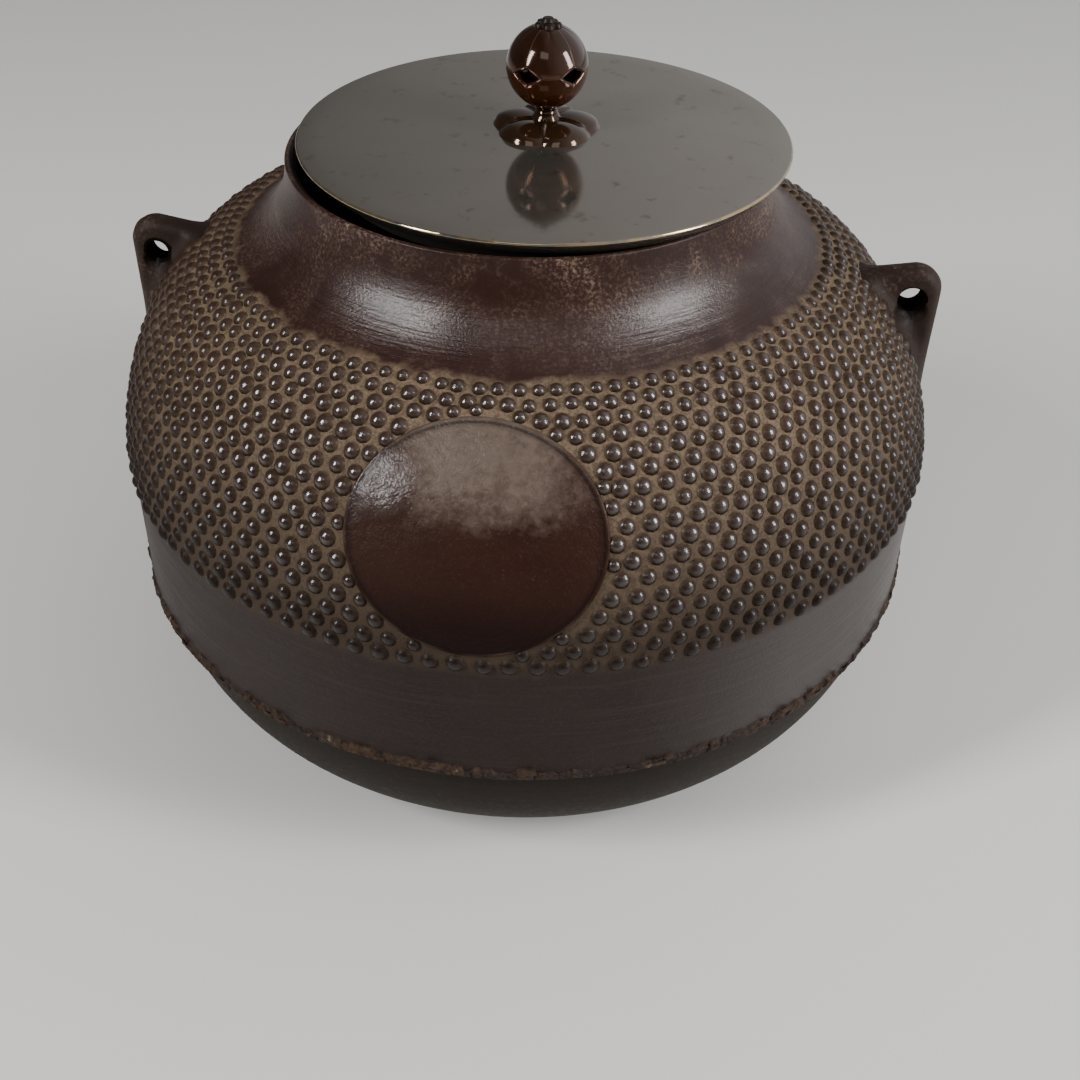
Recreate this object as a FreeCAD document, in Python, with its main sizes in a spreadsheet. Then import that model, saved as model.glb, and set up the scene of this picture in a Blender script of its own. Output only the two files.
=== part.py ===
import FreeCAD, Part
import math
import os
import Sketcher

# A tea-ceremony water kettle of cast iron with a loose bronze lid.
# Millimetres. The origin is the centre of the flat base, +Z is up, the two lifting lugs lie along X
# and the smooth round panel faces -Y.

doc = FreeCAD.newDocument("WaterKettle")
sheet = doc.addObject("Spreadsheet::Sheet", "Sizes")

# Driving dimensions: value and what it measures
dimensions = {
    "wall": (2.0, "iron thickness of the body and of the bottom"),
    "rim_radius": (69.2, "outside of the mouth rim"),
    "rim_height": (181.4, "top of the mouth rim above the base"),
    "rim_width": (3.2, "iron thickness of the mouth rim"),
    "rim_flat": (1.3, "width of the flat top of the rim"),
    "rim_chamfer": (2.0, "depth of the slope inside the rim"),
    "rim_collar": (9.5, "depth of the thick straight collar inside the mouth"),
    "neck_flare": (15.4, "how far the neck spreads from the rim to its root"),
    "neck_depth": (24.4, "height of the neck"),
    "neck_arc": (27.0, "radius of the hollow neck curve"),
    "neck_root_slope": (22.0, "slope of the wall at the neck root, degrees"),
    "shoulder_run": (19.6, "radial run of the upper shoulder curve"),
    "shoulder_drop": (12.7, "fall of the upper shoulder curve"),
    "shoulder_arc": (45.0, "radius of the upper shoulder curve"),
    "shoulder_slope": (48.0, "slope of the wall where the two shoulder curves meet, degrees"),
    "belly_radius": (124.3, "widest radius of the body"),
    "belly_height": (92.0, "height at which the wall turns upright"),
    "belly_arc": (78.0, "radius of the lower shoulder curve"),
    "skirt_flare": (0.4, "how far the plain band spreads towards its foot"),
    "lip_height": (55.0, "underside of the broken lip round the foot of the body"),
    "lip_reach": (1.1, "how far the lip stands out"),
    "lip_depth": (3.0, "height of the lip"),
    "putty_gap": (1.1, "room for putty between the body and the bottom let into it"),
    "putty_rise": (6.0, "height of the putty fillet above the bottom's edge"),
    "putty_curve": (12.0, "radius of the hollow face of the putty fillet"),
    "lap_depth": (11.0, "how far the bottom reaches up inside the body"),
    "bottom_bend": (55.3, "radius of the curve from the flat base to the upright edge"),
    "seat_gap": (0.05, "fit between pieces that are stuck, cast or riveted together"),
    "lug_hole_radius": (4.0, "hole for a lifting ring"),
    "lug_hole_inset": (10.4, "lug hole centre inside the widest radius"),
    "lug_hole_drop": (1.1, "lug hole centre below the shoulder joint"),
    "lug_width": (8.6, "lug thickness along the hole"),
    "lug_tip_inset": (1.9, "upright outer edge of the lug inside the widest radius"),
    "lug_crown": (9.9, "lug top above the hole centre"),
    "lug_corner": (8.0, "rounding of the lug's outer top corner"),
    "lug_top_slope": (10.0, "fall of the lug's top edge towards the body, degrees"),
    "lug_top_run": (19.0, "length of the lug's top edge"),
    "lug_foot": (36.8, "lug foot below the hole centre"),
    "lug_edge": (2.2, "rounding of the lug's long edges"),
    "panel_half_width": (33.2, "round panel on the front, centre to side"),
    "panel_half_height": (30.2, "round panel, centre to upper edge"),
    "panel_rise": (0.8, "height of the panel above the ground of the wall"),
    "panel_tilt": (30.0, "upward tilt of the panel's axis, degrees"),
    "panel_axis_drop": (81.8, "where the panel's axis crosses the kettle's axis, below the shoulder joint"),
    "lid_overlap": (1.0, "lid edge beyond the rim"),
    "lid_thickness": (3.6, "lid plate"),
    "lid_edge": (0.6, "rounding of the lid's worn top edge"),
    "lid_undercut": (2.4, "how far the lid's side slopes in towards its underside"),
    "lid_shift": (3.8, "how far the lid lies off centre, along X"),
    "lid_shift_back": (2.6, "how far the lid lies off centre, along Y"),
    "knob_back": (4.0, "how far the knob's axis lies behind the lid's centre"),
    "flange_play": (5.2, "room between the lid's flange and the mouth"),
    "flange_wall": (2.0, "flange thickness"),
    "flange_depth": (6.0, "flange height below the plate"),
    "dome_crown": (0.5, "flat crown of the small domes"),
    "pin_radius": (1.6, "rivet through the knob"),
    "pin_head_radius": (3.2, "peened head of the rivet"),
    "pin_head_height": (1.2, "height of the peened head"),
    "washer_radius": (7.0, "washer under the lid"),
    "washer_thickness": (1.2, "washer under the lid"),
    "petal_reach": (7.5, "petal centre from the knob's axis"),
    "petal_radius": (8.2, "one petal of the blossom seat"),
    "petal_height": (3.4, "crown of a petal"),
    "petal_edge": (0.8, "thickness of a petal's edge"),
    "petal_turn": (19.4, "turn of the first petal from X, degrees"),
    "hub_radius": (5.6, "raised centre of the blossom seat"),
    "hub_height": (4.9, "top of the blossom seat above the lid"),
    "collar_radius": (2.5, "waist of the stem below the ball"),
    "collar_flare": (0.75, "spread of the stem at its two ends"),
    "collar_height": (1.7, "stem between the seat and the ball"),
    "ball_radius": (11.5, "knob ball"),
    "ball_wall": (1.5, "knob ball's metal thickness"),
    "ball_pole": (3.2, "radius of the flat seats at the ball's poles"),
    "star_half_width": (4.6, "pierced star, centre to side tip"),
    "star_half_height": (2.35, "pierced star, centre to upper or lower tip"),
    "star_arc": (5.0, "radius of the star's hollow sides"),
    "star_turn": (-25.3, "turn of the first star from the front, degrees"),
    "finial_radius": (3.9, "rosette on top of the knob"),
    "finial_height": (2.1, "rosette height"),
    "finial_edge": (0.6, "upright edge of the rosette"),
    "finial_socket": (0.8, "depth of the pin's hole in the rosette"),
    "finial_notch": (0.7, "radius of the notches between the rosette's lobes"),
    "plate_length": (24.0, "sounding plate on the inside of the bottom"),
    "plate_breadth": (15.0, "sounding plate"),
    "plate_thickness": (2.4, "sounding plate"),
    "plate_corner": (3.0, "sounding plate corner"),
    "plate_ring": (36.0, "sounding plate centres from the axis"),
    "dab_radius": (5.5, "lacquer dab under a sounding plate"),
    "dab_thickness": (0.8, "lacquer dab"),
}
petal_count = 5
plate_count = 5


class Size:
    """A sheet value, or a sum of them, as an expression and as a number."""

    def __init__(self, text, value):
        self.text = text
        self.value = value

    def __add__(self, other):
        other = as_size(other)
        return Size("(%s + %s)" % (self.text, other.text), self.value + other.value)

    def __sub__(self, other):
        other = as_size(other)
        return Size("(%s - %s)" % (self.text, other.text), self.value - other.value)

    def __mul__(self, other):
        other = as_size(other)
        return Size("(%s * %s)" % (self.text, other.text), self.value * other.value)

    def __truediv__(self, other):
        other = as_size(other)
        return Size("(%s / %s)" % (self.text, other.text), self.value / other.value)

    def __neg__(self):
        return Size("(0 - %s)" % self.text, -self.value)

    def sine(self):
        return Size("sin(%s)" % self.text, math.sin(math.radians(self.value)))

    def cosine(self):
        return Size("cos(%s)" % self.text, math.cos(math.radians(self.value)))

    def root(self):
        return Size("sqrt(%s)" % self.text, math.sqrt(self.value))


def as_size(number):
    if isinstance(number, Size):
        return number
    return Size(repr(float(number)), float(number))


size = {}
for row, (name, (value, note)) in enumerate(dimensions.items(), start=1):
    sheet.set("A%d" % row, name)
    sheet.set("B%d" % row, str(value))
    sheet.setAlias("B%d" % row, name)
    sheet.set("C%d" % row, note)
    size[name] = Size("Sizes." + name, value)
doc.recompute()
zero = as_size(0)
upright = FreeCAD.Vector(0, 0, 1)


# Helpers for sketches and features
def origin_item(body, role):
    for item in body.Origin.OriginFeatures:
        if item.Role == role:
            return item
    raise ValueError("no origin item " + role)


def new_body(label):
    body = doc.addObject("PartDesign::Body", label + "_body")
    body.Label = label
    return body


def arc_between(start, end, radius, turn):
    """Circle arc from start to end; turn +1 keeps the centre on the left, -1 on the right."""
    middle = (start + end) * 0.5
    chord = end - start
    left = FreeCAD.Vector(-chord.y, chord.x, 0).normalize()
    centre = middle + left * turn * math.sqrt(radius ** 2 - (chord.Length / 2) ** 2)
    circle = Part.Circle(centre, FreeCAD.Vector(0, 0, 1), radius)
    first, last = (start, end) if turn > 0 else (end, start)
    return Part.ArcOfCircle(circle, circle.parameter(first), circle.parameter(last))


def bind(sketch, kind, where, expression):
    """Adds a dimension to the sketch and ties it to the sheet."""
    index = sketch.addConstraint(Sketcher.Constraint(kind, *where, expression.value))
    sketch.setExpression("Constraints[%d]" % index, expression.text)


def place_point(sketch, piece, spot, x, y):
    """Ties one end of a line or arc to its coordinates."""
    for kind, axis, coordinate in (("DistanceX", -2, x), ("DistanceY", -1, y)):
        if coordinate.value == 0:
            sketch.addConstraint(Sketcher.Constraint("PointOnObject", piece, spot, axis))
        elif coordinate.value > 0:
            bind(sketch, kind, (-1, 1, piece, spot), coordinate)
        else:
            bind(sketch, kind, (piece, spot, -1, 1), -coordinate)


def add_circle(sketch, x, y, radius):
    centre = FreeCAD.Vector(x.value, y.value, 0)
    circle = sketch.addGeometry(Part.Circle(centre, FreeCAD.Vector(0, 0, 1), radius.value), False)
    place_point(sketch, circle, 3, x, y)
    bind(sketch, "Radius", (circle,), radius)


def outline(body, name, role, path, hole=None):
    """Closed outline. Each step of path is (x, y) for a line to that point,
    or (x, y, radius, turn) for an arc to it; the first step follows on from the last."""
    sketch = body.newObject("Sketcher::SketchObject", name)
    sketch.AttachmentSupport = [(origin_item(body, role), "")]
    sketch.MapMode = "FlatFace"
    corners = [FreeCAD.Vector(step[0].value, step[1].value, 0) for step in path]
    starts = []
    ends = []
    for index, step in enumerate(path):
        start = corners[index - 1]
        end = corners[index]
        if len(step) == 2:
            piece = sketch.addGeometry(Part.LineSegment(start, end), False)
            forward = True
        else:
            piece = sketch.addGeometry(arc_between(start, end, step[2].value, step[3]), False)
            forward = step[3] > 0
        starts.append((piece, 1 if forward else 2))
        ends.append((piece, 2 if forward else 1))
    for index, step in enumerate(path):
        following = starts[(index + 1) % len(path)]
        sketch.addConstraint(Sketcher.Constraint("Coincident", *ends[index], *following))
        place_point(sketch, *ends[index], step[0], step[1])
        if len(step) == 4:
            bind(sketch, "Radius", (ends[index][0],), step[2])
    if hole:
        add_circle(sketch, *hole)
    return sketch


def turned(body, name, path):
    """Solid of revolution about the body's Z axis; path is (radius, height) steps."""
    sketch = outline(body, name + "_outline", "XZ_Plane", path)
    feature = body.newObject("PartDesign::Revolution", name)
    feature.Profile = sketch
    feature.ReferenceAxis = (sketch, ["V_Axis"])
    feature.Angle = 360
    sketch.Visibility = False
    return feature


def padded(body, name, role, path, length, symmetric=False, hole=None):
    sketch = outline(body, name + "_outline", role, path, hole)
    feature = body.newObject("PartDesign::Pad", name)
    feature.Profile = sketch
    feature.setExpression("Length", length.text)
    if symmetric:
        feature.SideType = "Symmetric"
    return feature


def pocketed(body, name, sketch, length, reverse):
    """Cuts the sketch's outline out of the body, on one side of the sketch."""
    feature = body.newObject("PartDesign::Pocket", name)
    feature.Profile = sketch
    feature.setExpression("Length", length.text)
    feature.Reversed = reverse
    return feature


def patterned(body, name, feature, count):
    """Repeats a feature round the body's Z axis."""
    pattern = body.newObject("PartDesign::PolarPattern", name)
    pattern.Originals = [feature]
    pattern.Axis = (origin_item(body, "Z_Axis"), [""])
    pattern.Angle = 360
    pattern.Occurrences = count
    body.Tip = pattern
    return pattern


def circle_sketch(body, name, x, y, radius):
    sketch = body.newObject("Sketcher::SketchObject", name)
    sketch.AttachmentSupport = [(origin_item(body, "XY_Plane"), "")]
    sketch.MapMode = "FlatFace"
    add_circle(sketch, x, y, radius)
    return sketch


def turn_about(item, axis, angle):
    """Turns a piece about an axis through its own origin."""
    item.Placement = FreeCAD.Placement(FreeCAD.Vector(), FreeCAD.Rotation(axis, angle.value))
    item.setExpression("Placement.Rotation.Angle", angle.text)


def dome_arc(width, height, crown):
    """Radius of a round dome with this base radius and height, and a small flat crown."""
    centre = (crown * crown + height * height - width * width) / (height * 2)
    return (width * width + centre * centre).root()


def move(item, x=zero, y=zero, z=zero):
    item.setExpression("Placement.Base.x", x.text)
    item.setExpression("Placement.Base.y", y.text)
    item.setExpression("Placement.Base.z", z.text)


# Body profile: places on the outer wall, and the same wall offset inwards or outwards
neck_root_radius = size["rim_radius"] + size["neck_flare"]
neck_root_height = size["rim_height"] - size["neck_depth"]
shoulder_radius = neck_root_radius + size["shoulder_run"]
shoulder_height = neck_root_height - size["shoulder_drop"]
skirt_radius = size["belly_radius"] + size["skirt_flare"]
skirt_inside = skirt_radius - size["wall"]
bottom_radius = skirt_inside - size["putty_gap"]
lap_height = size["lip_height"] + size["lap_depth"]
mouth_radius = size["rim_radius"] - size["rim_width"]


def neck_root(offset):
    slope = size["neck_root_slope"]
    return (neck_root_radius + offset * slope.sine(), neck_root_height + offset * slope.cosine())


def shoulder_joint(offset):
    slope = size["shoulder_slope"]
    return (shoulder_radius + offset * slope.sine(), shoulder_height + offset * slope.cosine())


def belly(offset):
    return (size["belly_radius"] + offset, size["belly_height"])


def shoulder_down(offset):
    """Steps from the neck root down to the belly."""
    upper = shoulder_joint(offset) + (size["shoulder_arc"] + offset, -1)
    lower = belly(offset) + (size["belly_arc"] + offset, -1)
    return [upper, lower]


def shoulder_up(offset):
    """Steps from the belly up to the neck root."""
    lower = shoulder_joint(offset) + (size["belly_arc"] + offset, 1)
    upper = neck_root(offset) + (size["shoulder_arc"] + offset, 1)
    return [lower, upper]


# Kettle body: cast shell with mouth, hollow neck, shoulder, plain band and broken lip
inwards = -size["wall"]
lip_radius = skirt_radius + size["lip_reach"]
lip_top = size["lip_height"] + size["lip_depth"]
rim_inside = size["rim_radius"] - size["rim_flat"]
chamfer_foot = size["rim_height"] - size["rim_chamfer"]
collar_foot = size["rim_height"] - size["rim_collar"]
shell_path = [
    (rim_inside, size["rim_height"]),
    (size["rim_radius"], size["rim_height"]),
    neck_root(zero) + (size["neck_arc"], 1),
]
shell_path += shoulder_down(zero)
shell_path += [
    (skirt_radius, lip_top + size["lip_reach"]),
    (lip_radius, lip_top),
    (lip_radius, size["lip_height"] + size["lip_reach"]),
    (skirt_radius, size["lip_height"]),
    (skirt_inside, size["lip_height"]),
    belly(inwards),
]
shell_path += shoulder_up(inwards)
shell_path += [
    (mouth_radius, collar_foot, size["neck_arc"] + size["wall"], -1),
    (mouth_radius, chamfer_foot),
]
shell = new_body("kettle_shell")
turned(shell, "shell_turn", shell_path)

# Smooth round panel: a patch of the wall that stands out a little
panel_band = new_body("panel_band")
mid_wall = size["wall"] * -0.5
band_path = [neck_root(size["panel_rise"])]
band_path += shoulder_down(size["panel_rise"])
band_path += [belly(mid_wall)]
band_path += shoulder_up(mid_wall)
turned(panel_band, "band_turn", band_path)

panel_outline = doc.addObject("Part::Ellipse", "panel_outline")
panel_outline.setExpression("MajorRadius", size["panel_half_width"].text)
panel_outline.setExpression("MinorRadius", size["panel_half_height"].text)
turn_about(panel_outline, FreeCAD.Vector(1, 0, 0), as_size(90) - size["panel_tilt"])
move(panel_outline, z=shoulder_height - size["panel_axis_drop"])
panel_bar = doc.addObject("Part::Extrusion", "panel_bar")
panel_bar.Base = panel_outline
panel_bar.DirMode = "Normal"
panel_bar.Reversed = True
panel_bar.Solid = True
panel_bar.setExpression("LengthFwd", (size["belly_radius"] * 2).text)

panel = doc.addObject("Part::Common", "panel")
panel.Base = panel_band
panel.Tool = panel_bar

kettle_body = doc.addObject("Part::Fuse", "kettle_body")
kettle_body.Base = shell
kettle_body.Tool = panel
kettle_body.Label = "kettle_body"

# Kettle bottom: a bowl let into the foot of the body from below
bottom = new_body("kettle_bottom")
flat_radius = bottom_radius - size["bottom_bend"]
turned(bottom, "bottom_turn", [
    (zero, zero),
    (flat_radius, zero),
    (bottom_radius, size["bottom_bend"], size["bottom_bend"], 1),
    (bottom_radius, lap_height),
    (bottom_radius - size["wall"], lap_height),
    (bottom_radius - size["wall"], size["bottom_bend"]),
    (flat_radius, size["wall"], size["bottom_bend"] - size["wall"], -1),
    (zero, size["wall"]),
])

# Putty: fills the lap between body and bottom and makes a fillet above the bottom's edge
putty = new_body("seam_putty")
putty_inside = bottom_radius + size["seat_gap"]
putty_outside = skirt_inside - size["seat_gap"] - size["skirt_flare"]
putty_foot = size["lip_height"] + size["seat_gap"]
putty_shelf = lap_height + size["seat_gap"]
turned(putty, "putty_turn", [
    (putty_inside, putty_foot),
    (putty_outside, putty_foot),
    (putty_outside, putty_shelf + size["putty_rise"]),
    (bottom_radius - size["wall"], putty_shelf, size["putty_curve"], -1),
    (putty_inside, putty_shelf),
])

# Lifting lugs: ears set on the shoulder, each with a hole for a ring
envelope = new_body("body_envelope")
envelope_path = [(zero, lip_top), (zero, neck_root_height), neck_root(size["seat_gap"])]
envelope_path += shoulder_down(size["seat_gap"])
envelope_path += [(size["belly_radius"] + size["seat_gap"], lip_top)]
turned(envelope, "envelope_turn", envelope_path)

hole_reach = size["belly_radius"] - size["lug_hole_inset"]
hole_height = shoulder_height - size["lug_hole_drop"]
lug_tip = size["belly_radius"] - size["lug_tip_inset"]
lug_low = hole_height - size["lug_foot"]
corner_height = hole_height + size["lug_crown"] - size["lug_corner"]
fall = size["lug_top_slope"]
crown_reach = lug_tip - size["lug_corner"] - size["lug_corner"] * fall.sine()
crown_height = corner_height + size["lug_corner"] * fall.cosine()
lug_root = crown_reach - size["lug_top_run"] * fall.cosine()
lug_path = [
    (lug_root, lug_low),
    (lug_tip, lug_low),
    (lug_tip, corner_height),
    (crown_reach, crown_height, size["lug_corner"], 1),
    (lug_root, crown_height - size["lug_top_run"] * fall.sine()),
]
bore_reach = hole_reach.value + size["lug_hole_radius"].value + 0.01
for side, turn in (("right", 0), ("left", 180)):
    blank = new_body(side + "_lug_blank")
    ear = padded(blank, side + "_ear", "XZ_Plane", lug_path, size["lug_width"], symmetric=True,
                 hole=(hole_reach, hole_height, size["lug_hole_radius"]))
    doc.recompute()
    long_edges = []
    for number, edge in enumerate(ear.Shape.Edges, start=1):
        box = edge.BoundBox
        if box.YLength < 0.01 and box.XMax > bore_reach:
            long_edges.append("Edge%d" % number)
    rounding = blank.newObject("PartDesign::Fillet", side + "_ear_edges")
    rounding.Base = (ear, long_edges)
    rounding.setExpression("Radius", size["lug_edge"].text)
    turn_about(blank, upright, as_size(turn))
    lug = doc.addObject("Part::Cut", side + "_lug")
    lug.Base = blank
    lug.Tool = envelope
    lug.Label = side + "_lug"

# Lid: flat plate with a locating flange below, lying a little off centre on the rim
lid_radius = size["rim_radius"] + size["lid_overlap"]
lid_top = size["rim_height"] + size["lid_thickness"]
flange_radius = mouth_radius - size["flange_play"]
pin_hole = size["pin_radius"] + size["seat_gap"]
knob_y = size["lid_shift_back"] + size["knob_back"]
lid = new_body("lid_plate")
turned(lid, "lid_turn", [
    (zero, size["flange_depth"]),
    (flange_radius - size["flange_wall"], size["flange_depth"]),
    (flange_radius - size["flange_wall"], zero),
    (flange_radius, zero),
    (flange_radius, size["flange_depth"]),
    (lid_radius - size["lid_undercut"], size["flange_depth"]),
    (lid_radius, size["flange_depth"] + size["lid_thickness"] - size["lid_edge"]),
    (lid_radius - size["lid_edge"], size["flange_depth"] + size["lid_thickness"], size["lid_edge"], 1),
    (zero, size["flange_depth"] + size["lid_thickness"]),
])
lid_bore = circle_sketch(lid, "lid_bore_outline", zero, size["knob_back"], pin_hole)
pocketed(lid, "lid_bore", lid_bore, (size["flange_depth"] + size["lid_thickness"]) * 2, True)
move(lid, x=size["lid_shift"], y=size["lid_shift_back"], z=size["rim_height"] - size["flange_depth"])

# Blossom seat: five domed petals round a raised hub
seat = new_body("knob_seat")
crown = size["dome_crown"]
turned(seat, "hub_turn", [
    (pin_hole, zero),
    (size["hub_radius"], zero),
    (size["hub_radius"], size["petal_edge"]),
    (size["collar_radius"] + size["collar_flare"], size["hub_height"], size["hub_radius"] * 2, -1),
    (pin_hole, size["hub_height"]),
])
petal_dome = dome_arc(size["petal_radius"], size["petal_height"] - size["petal_edge"], crown)
petal_sketch = outline(seat, "petal_outline", "XZ_Plane", [
    (size["petal_reach"], zero),
    (size["petal_reach"] + size["petal_radius"], zero),
    (size["petal_reach"] + size["petal_radius"], size["petal_edge"]),
    (size["petal_reach"] + crown, size["petal_height"], petal_dome, 1),
    (size["petal_reach"], size["petal_height"]),
])
petal = seat.newObject("PartDesign::Revolution", "petal")
petal.Profile = petal_sketch
petal.ReferenceAxis = (petal_sketch, ["Edge1"])
petal.Angle = 360
patterned(seat, "petals", petal, petal_count)
seat_bore = circle_sketch(seat, "seat_bore_outline", zero, zero, pin_hole)
pocketed(seat, "seat_bore", seat_bore, size["hub_height"] * 2, True)
turn_about(seat, upright, size["petal_turn"])
move(seat, x=size["lid_shift"], y=knob_y, z=lid_top)

# Stem: a waisted collar between the seat and the ball
collar = new_body("knob_collar")
collar_end = size["collar_radius"] + size["collar_flare"]
collar_base = lid_top + size["hub_height"]
turned(collar, "collar_turn", [
    (pin_hole, zero),
    (collar_end, zero),
    (collar_end, size["collar_height"], size["collar_height"], -1),
    (pin_hole, size["collar_height"]),
])
move(collar, x=size["lid_shift"], y=knob_y, z=collar_base)

# Ball: two hollow halves that meet at the equator, pierced there by five four-pointed stars
ball_inside = size["ball_radius"] - size["ball_wall"]
pole_depth = (size["ball_radius"] * size["ball_radius"] - size["ball_pole"] * size["ball_pole"]).root()
floor_depth = pole_depth - size["ball_wall"]
floor_radius = (ball_inside * ball_inside - floor_depth * floor_depth).root()
ball_base = collar_base + size["collar_height"]
equator = ball_base + pole_depth
for half, up in (("upper", 1), ("lower", -1)):
    ball = new_body("knob_ball_" + half)
    turned(ball, half + "_turn", [
        (size["ball_radius"], zero),
        (size["ball_pole"], pole_depth * up, size["ball_radius"], up),
        (pin_hole, pole_depth * up),
        (pin_hole, floor_depth * up),
        (floor_radius, floor_depth * up),
        (ball_inside, zero, ball_inside, -up),
    ])
    star = outline(ball, half + "_star_outline", "XZ_Plane", [
        (size["star_half_width"], zero),
        (zero, size["star_half_height"] * up, size["star_arc"], -up),
        (-size["star_half_width"], zero, size["star_arc"], -up),
    ])
    doc.recompute()
    uncut = ball.Shape.Volume
    hole = pocketed(ball, half + "_star", star, size["ball_radius"] * 2, True)
    patterned(ball, half + "_stars", hole, petal_count)
    doc.recompute()
    if ball.Shape.Volume >= uncut:
        raise ValueError("the stars cut nothing out of the ball")
    turn_about(ball, upright, size["star_turn"])
    move(ball, x=size["lid_shift"], y=knob_y, z=equator)

# Rosette finial: a small lobed cap on the tip of the pin
finial = new_body("knob_finial")
finial_base = equator + pole_depth
finial_dome = dome_arc(size["finial_radius"], size["finial_height"] - size["finial_edge"], crown)
turned(finial, "finial_turn", [
    (pin_hole, zero),
    (size["finial_radius"], zero),
    (size["finial_radius"], size["finial_edge"]),
    (crown, size["finial_height"], finial_dome, 1),
    (zero, size["finial_height"]),
    (zero, size["finial_socket"]),
    (pin_hole, size["finial_socket"]),
])
notch_sketch = circle_sketch(finial, "notch_outline", size["finial_radius"], zero, size["finial_notch"])
notch = pocketed(finial, "notch", notch_sketch, size["finial_height"] * 2, True)
patterned(finial, "notches", notch, petal_count)
turn_about(finial, upright, size["star_turn"])
move(finial, x=size["lid_shift"], y=knob_y, z=finial_base)

# Pin: a rivet from under the lid up into the finial, peened over a washer
washer_base = size["rim_height"] - size["washer_thickness"]
pin_length = finial_base + size["finial_socket"] - size["seat_gap"] - washer_base
pin_top = size["pin_head_height"] + pin_length
pin = new_body("knob_pin")
pin_dome = dome_arc(size["pin_head_radius"], size["pin_head_height"], crown)
turned(pin, "pin_turn", [
    (zero, zero),
    (crown, zero),
    (size["pin_head_radius"], size["pin_head_height"], pin_dome, 1),
    (size["pin_radius"], size["pin_head_height"]),
    (size["pin_radius"], pin_top),
    (zero, pin_top),
])
move(pin, x=size["lid_shift"], y=knob_y, z=washer_base - size["pin_head_height"])

washer = new_body("pin_washer")
turned(washer, "washer_turn", [
    (pin_hole, zero),
    (size["washer_radius"], zero),
    (size["washer_radius"], size["washer_thickness"]),
    (pin_hole, size["washer_thickness"]),
])
move(washer, x=size["lid_shift"], y=knob_y, z=washer_base)

# Sounding plates: iron offcuts stuck inside the bottom with lacquer, which make the kettle sing
half_length = size["plate_length"] * 0.5
half_breadth = size["plate_breadth"] * 0.5
inset_length = half_length - size["plate_corner"]
inset_breadth = half_breadth - size["plate_corner"]
plate_path = [
    (inset_length, -half_breadth),
    (half_length, -inset_breadth, size["plate_corner"], 1),
    (half_length, inset_breadth),
    (inset_length, half_breadth, size["plate_corner"], 1),
    (-inset_length, half_breadth),
    (-half_length, inset_breadth, size["plate_corner"], 1),
    (-half_length, -inset_breadth),
    (-inset_length, -half_breadth, size["plate_corner"], 1),
]
plates = []
dab_solids = []
for number in range(plate_count):
    angle = as_size(360.0 * number / plate_count)
    x = size["plate_ring"] * angle.cosine()
    y = size["plate_ring"] * angle.sine()
    plate = new_body("sounding_plate_%d" % (number + 1))
    padded(plate, "plate_pad_%d" % (number + 1), "XY_Plane", plate_path, size["plate_thickness"])
    turn_about(plate, upright, angle)
    move(plate, x, y, size["wall"] + size["dab_thickness"])
    plates.append(plate)
    dab = doc.addObject("Part::Cylinder", "dab_%d" % (number + 1))
    dab.setExpression("Radius", size["dab_radius"].text)
    dab.setExpression("Height", size["dab_thickness"].text)
    move(dab, x, y, size["wall"])
    dab_solids.append(dab)
dabs = doc.addObject("Part::Compound", "lacquer_dabs")
dabs.Links = dab_solids
dabs.Label = "lacquer_dabs"

# Build, check and write every piece
doc.recompute()
pieces = ["kettle_body", "kettle_bottom", "seam_putty", "left_lug", "right_lug", "lid_plate", "knob_seat",
          "knob_collar", "knob_ball_lower", "knob_ball_upper", "knob_finial", "knob_pin", "pin_washer",
          "lacquer_dabs"]
pieces += [plate.Label for plate in plates]
for item in doc.Objects:
    if "Invalid" in item.State or "Error" in item.State:
        raise ValueError("%s did not build" % item.Label)
shapes = {label: doc.getObjectsByLabel(label)[0].Shape for label in pieces}
for label, shape in shapes.items():
    if shape.isNull() or not shape.isValid():
        raise ValueError("%s has no sound shape" % label)
os.makedirs("parts", exist_ok=True)
for label, shape in shapes.items():
    shape.exportStep("parts/%s.step" % label)
    print("%-18s %d solids %10.1f mm3" % (label, len(shape.Solids), shape.Volume))
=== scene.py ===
import bpy
import bmesh
import random
from math import asin, atan2, copysign, cos, dist, exp, hypot, pi, radians, sin, sqrt, tau
from mathutils import Matrix, Vector, noise


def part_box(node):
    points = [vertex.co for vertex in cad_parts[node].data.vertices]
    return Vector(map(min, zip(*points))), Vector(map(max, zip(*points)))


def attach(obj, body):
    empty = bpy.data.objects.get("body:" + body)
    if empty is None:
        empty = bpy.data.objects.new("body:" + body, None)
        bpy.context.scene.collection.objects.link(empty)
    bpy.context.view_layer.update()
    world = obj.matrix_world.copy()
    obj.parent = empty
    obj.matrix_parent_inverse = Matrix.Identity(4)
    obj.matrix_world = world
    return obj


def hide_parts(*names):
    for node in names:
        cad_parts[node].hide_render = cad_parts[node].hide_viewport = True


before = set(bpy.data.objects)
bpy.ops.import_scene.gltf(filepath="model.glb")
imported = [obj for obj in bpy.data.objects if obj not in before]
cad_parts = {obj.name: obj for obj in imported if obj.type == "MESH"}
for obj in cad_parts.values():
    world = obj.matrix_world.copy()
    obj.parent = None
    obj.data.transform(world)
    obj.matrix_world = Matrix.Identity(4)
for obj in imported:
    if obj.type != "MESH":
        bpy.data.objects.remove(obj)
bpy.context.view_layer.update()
mm = 0.001  # sizes in the dictionaries are millimetres
fullTurn = tau
print("frame loaded")


# shapes: small helpers

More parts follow.
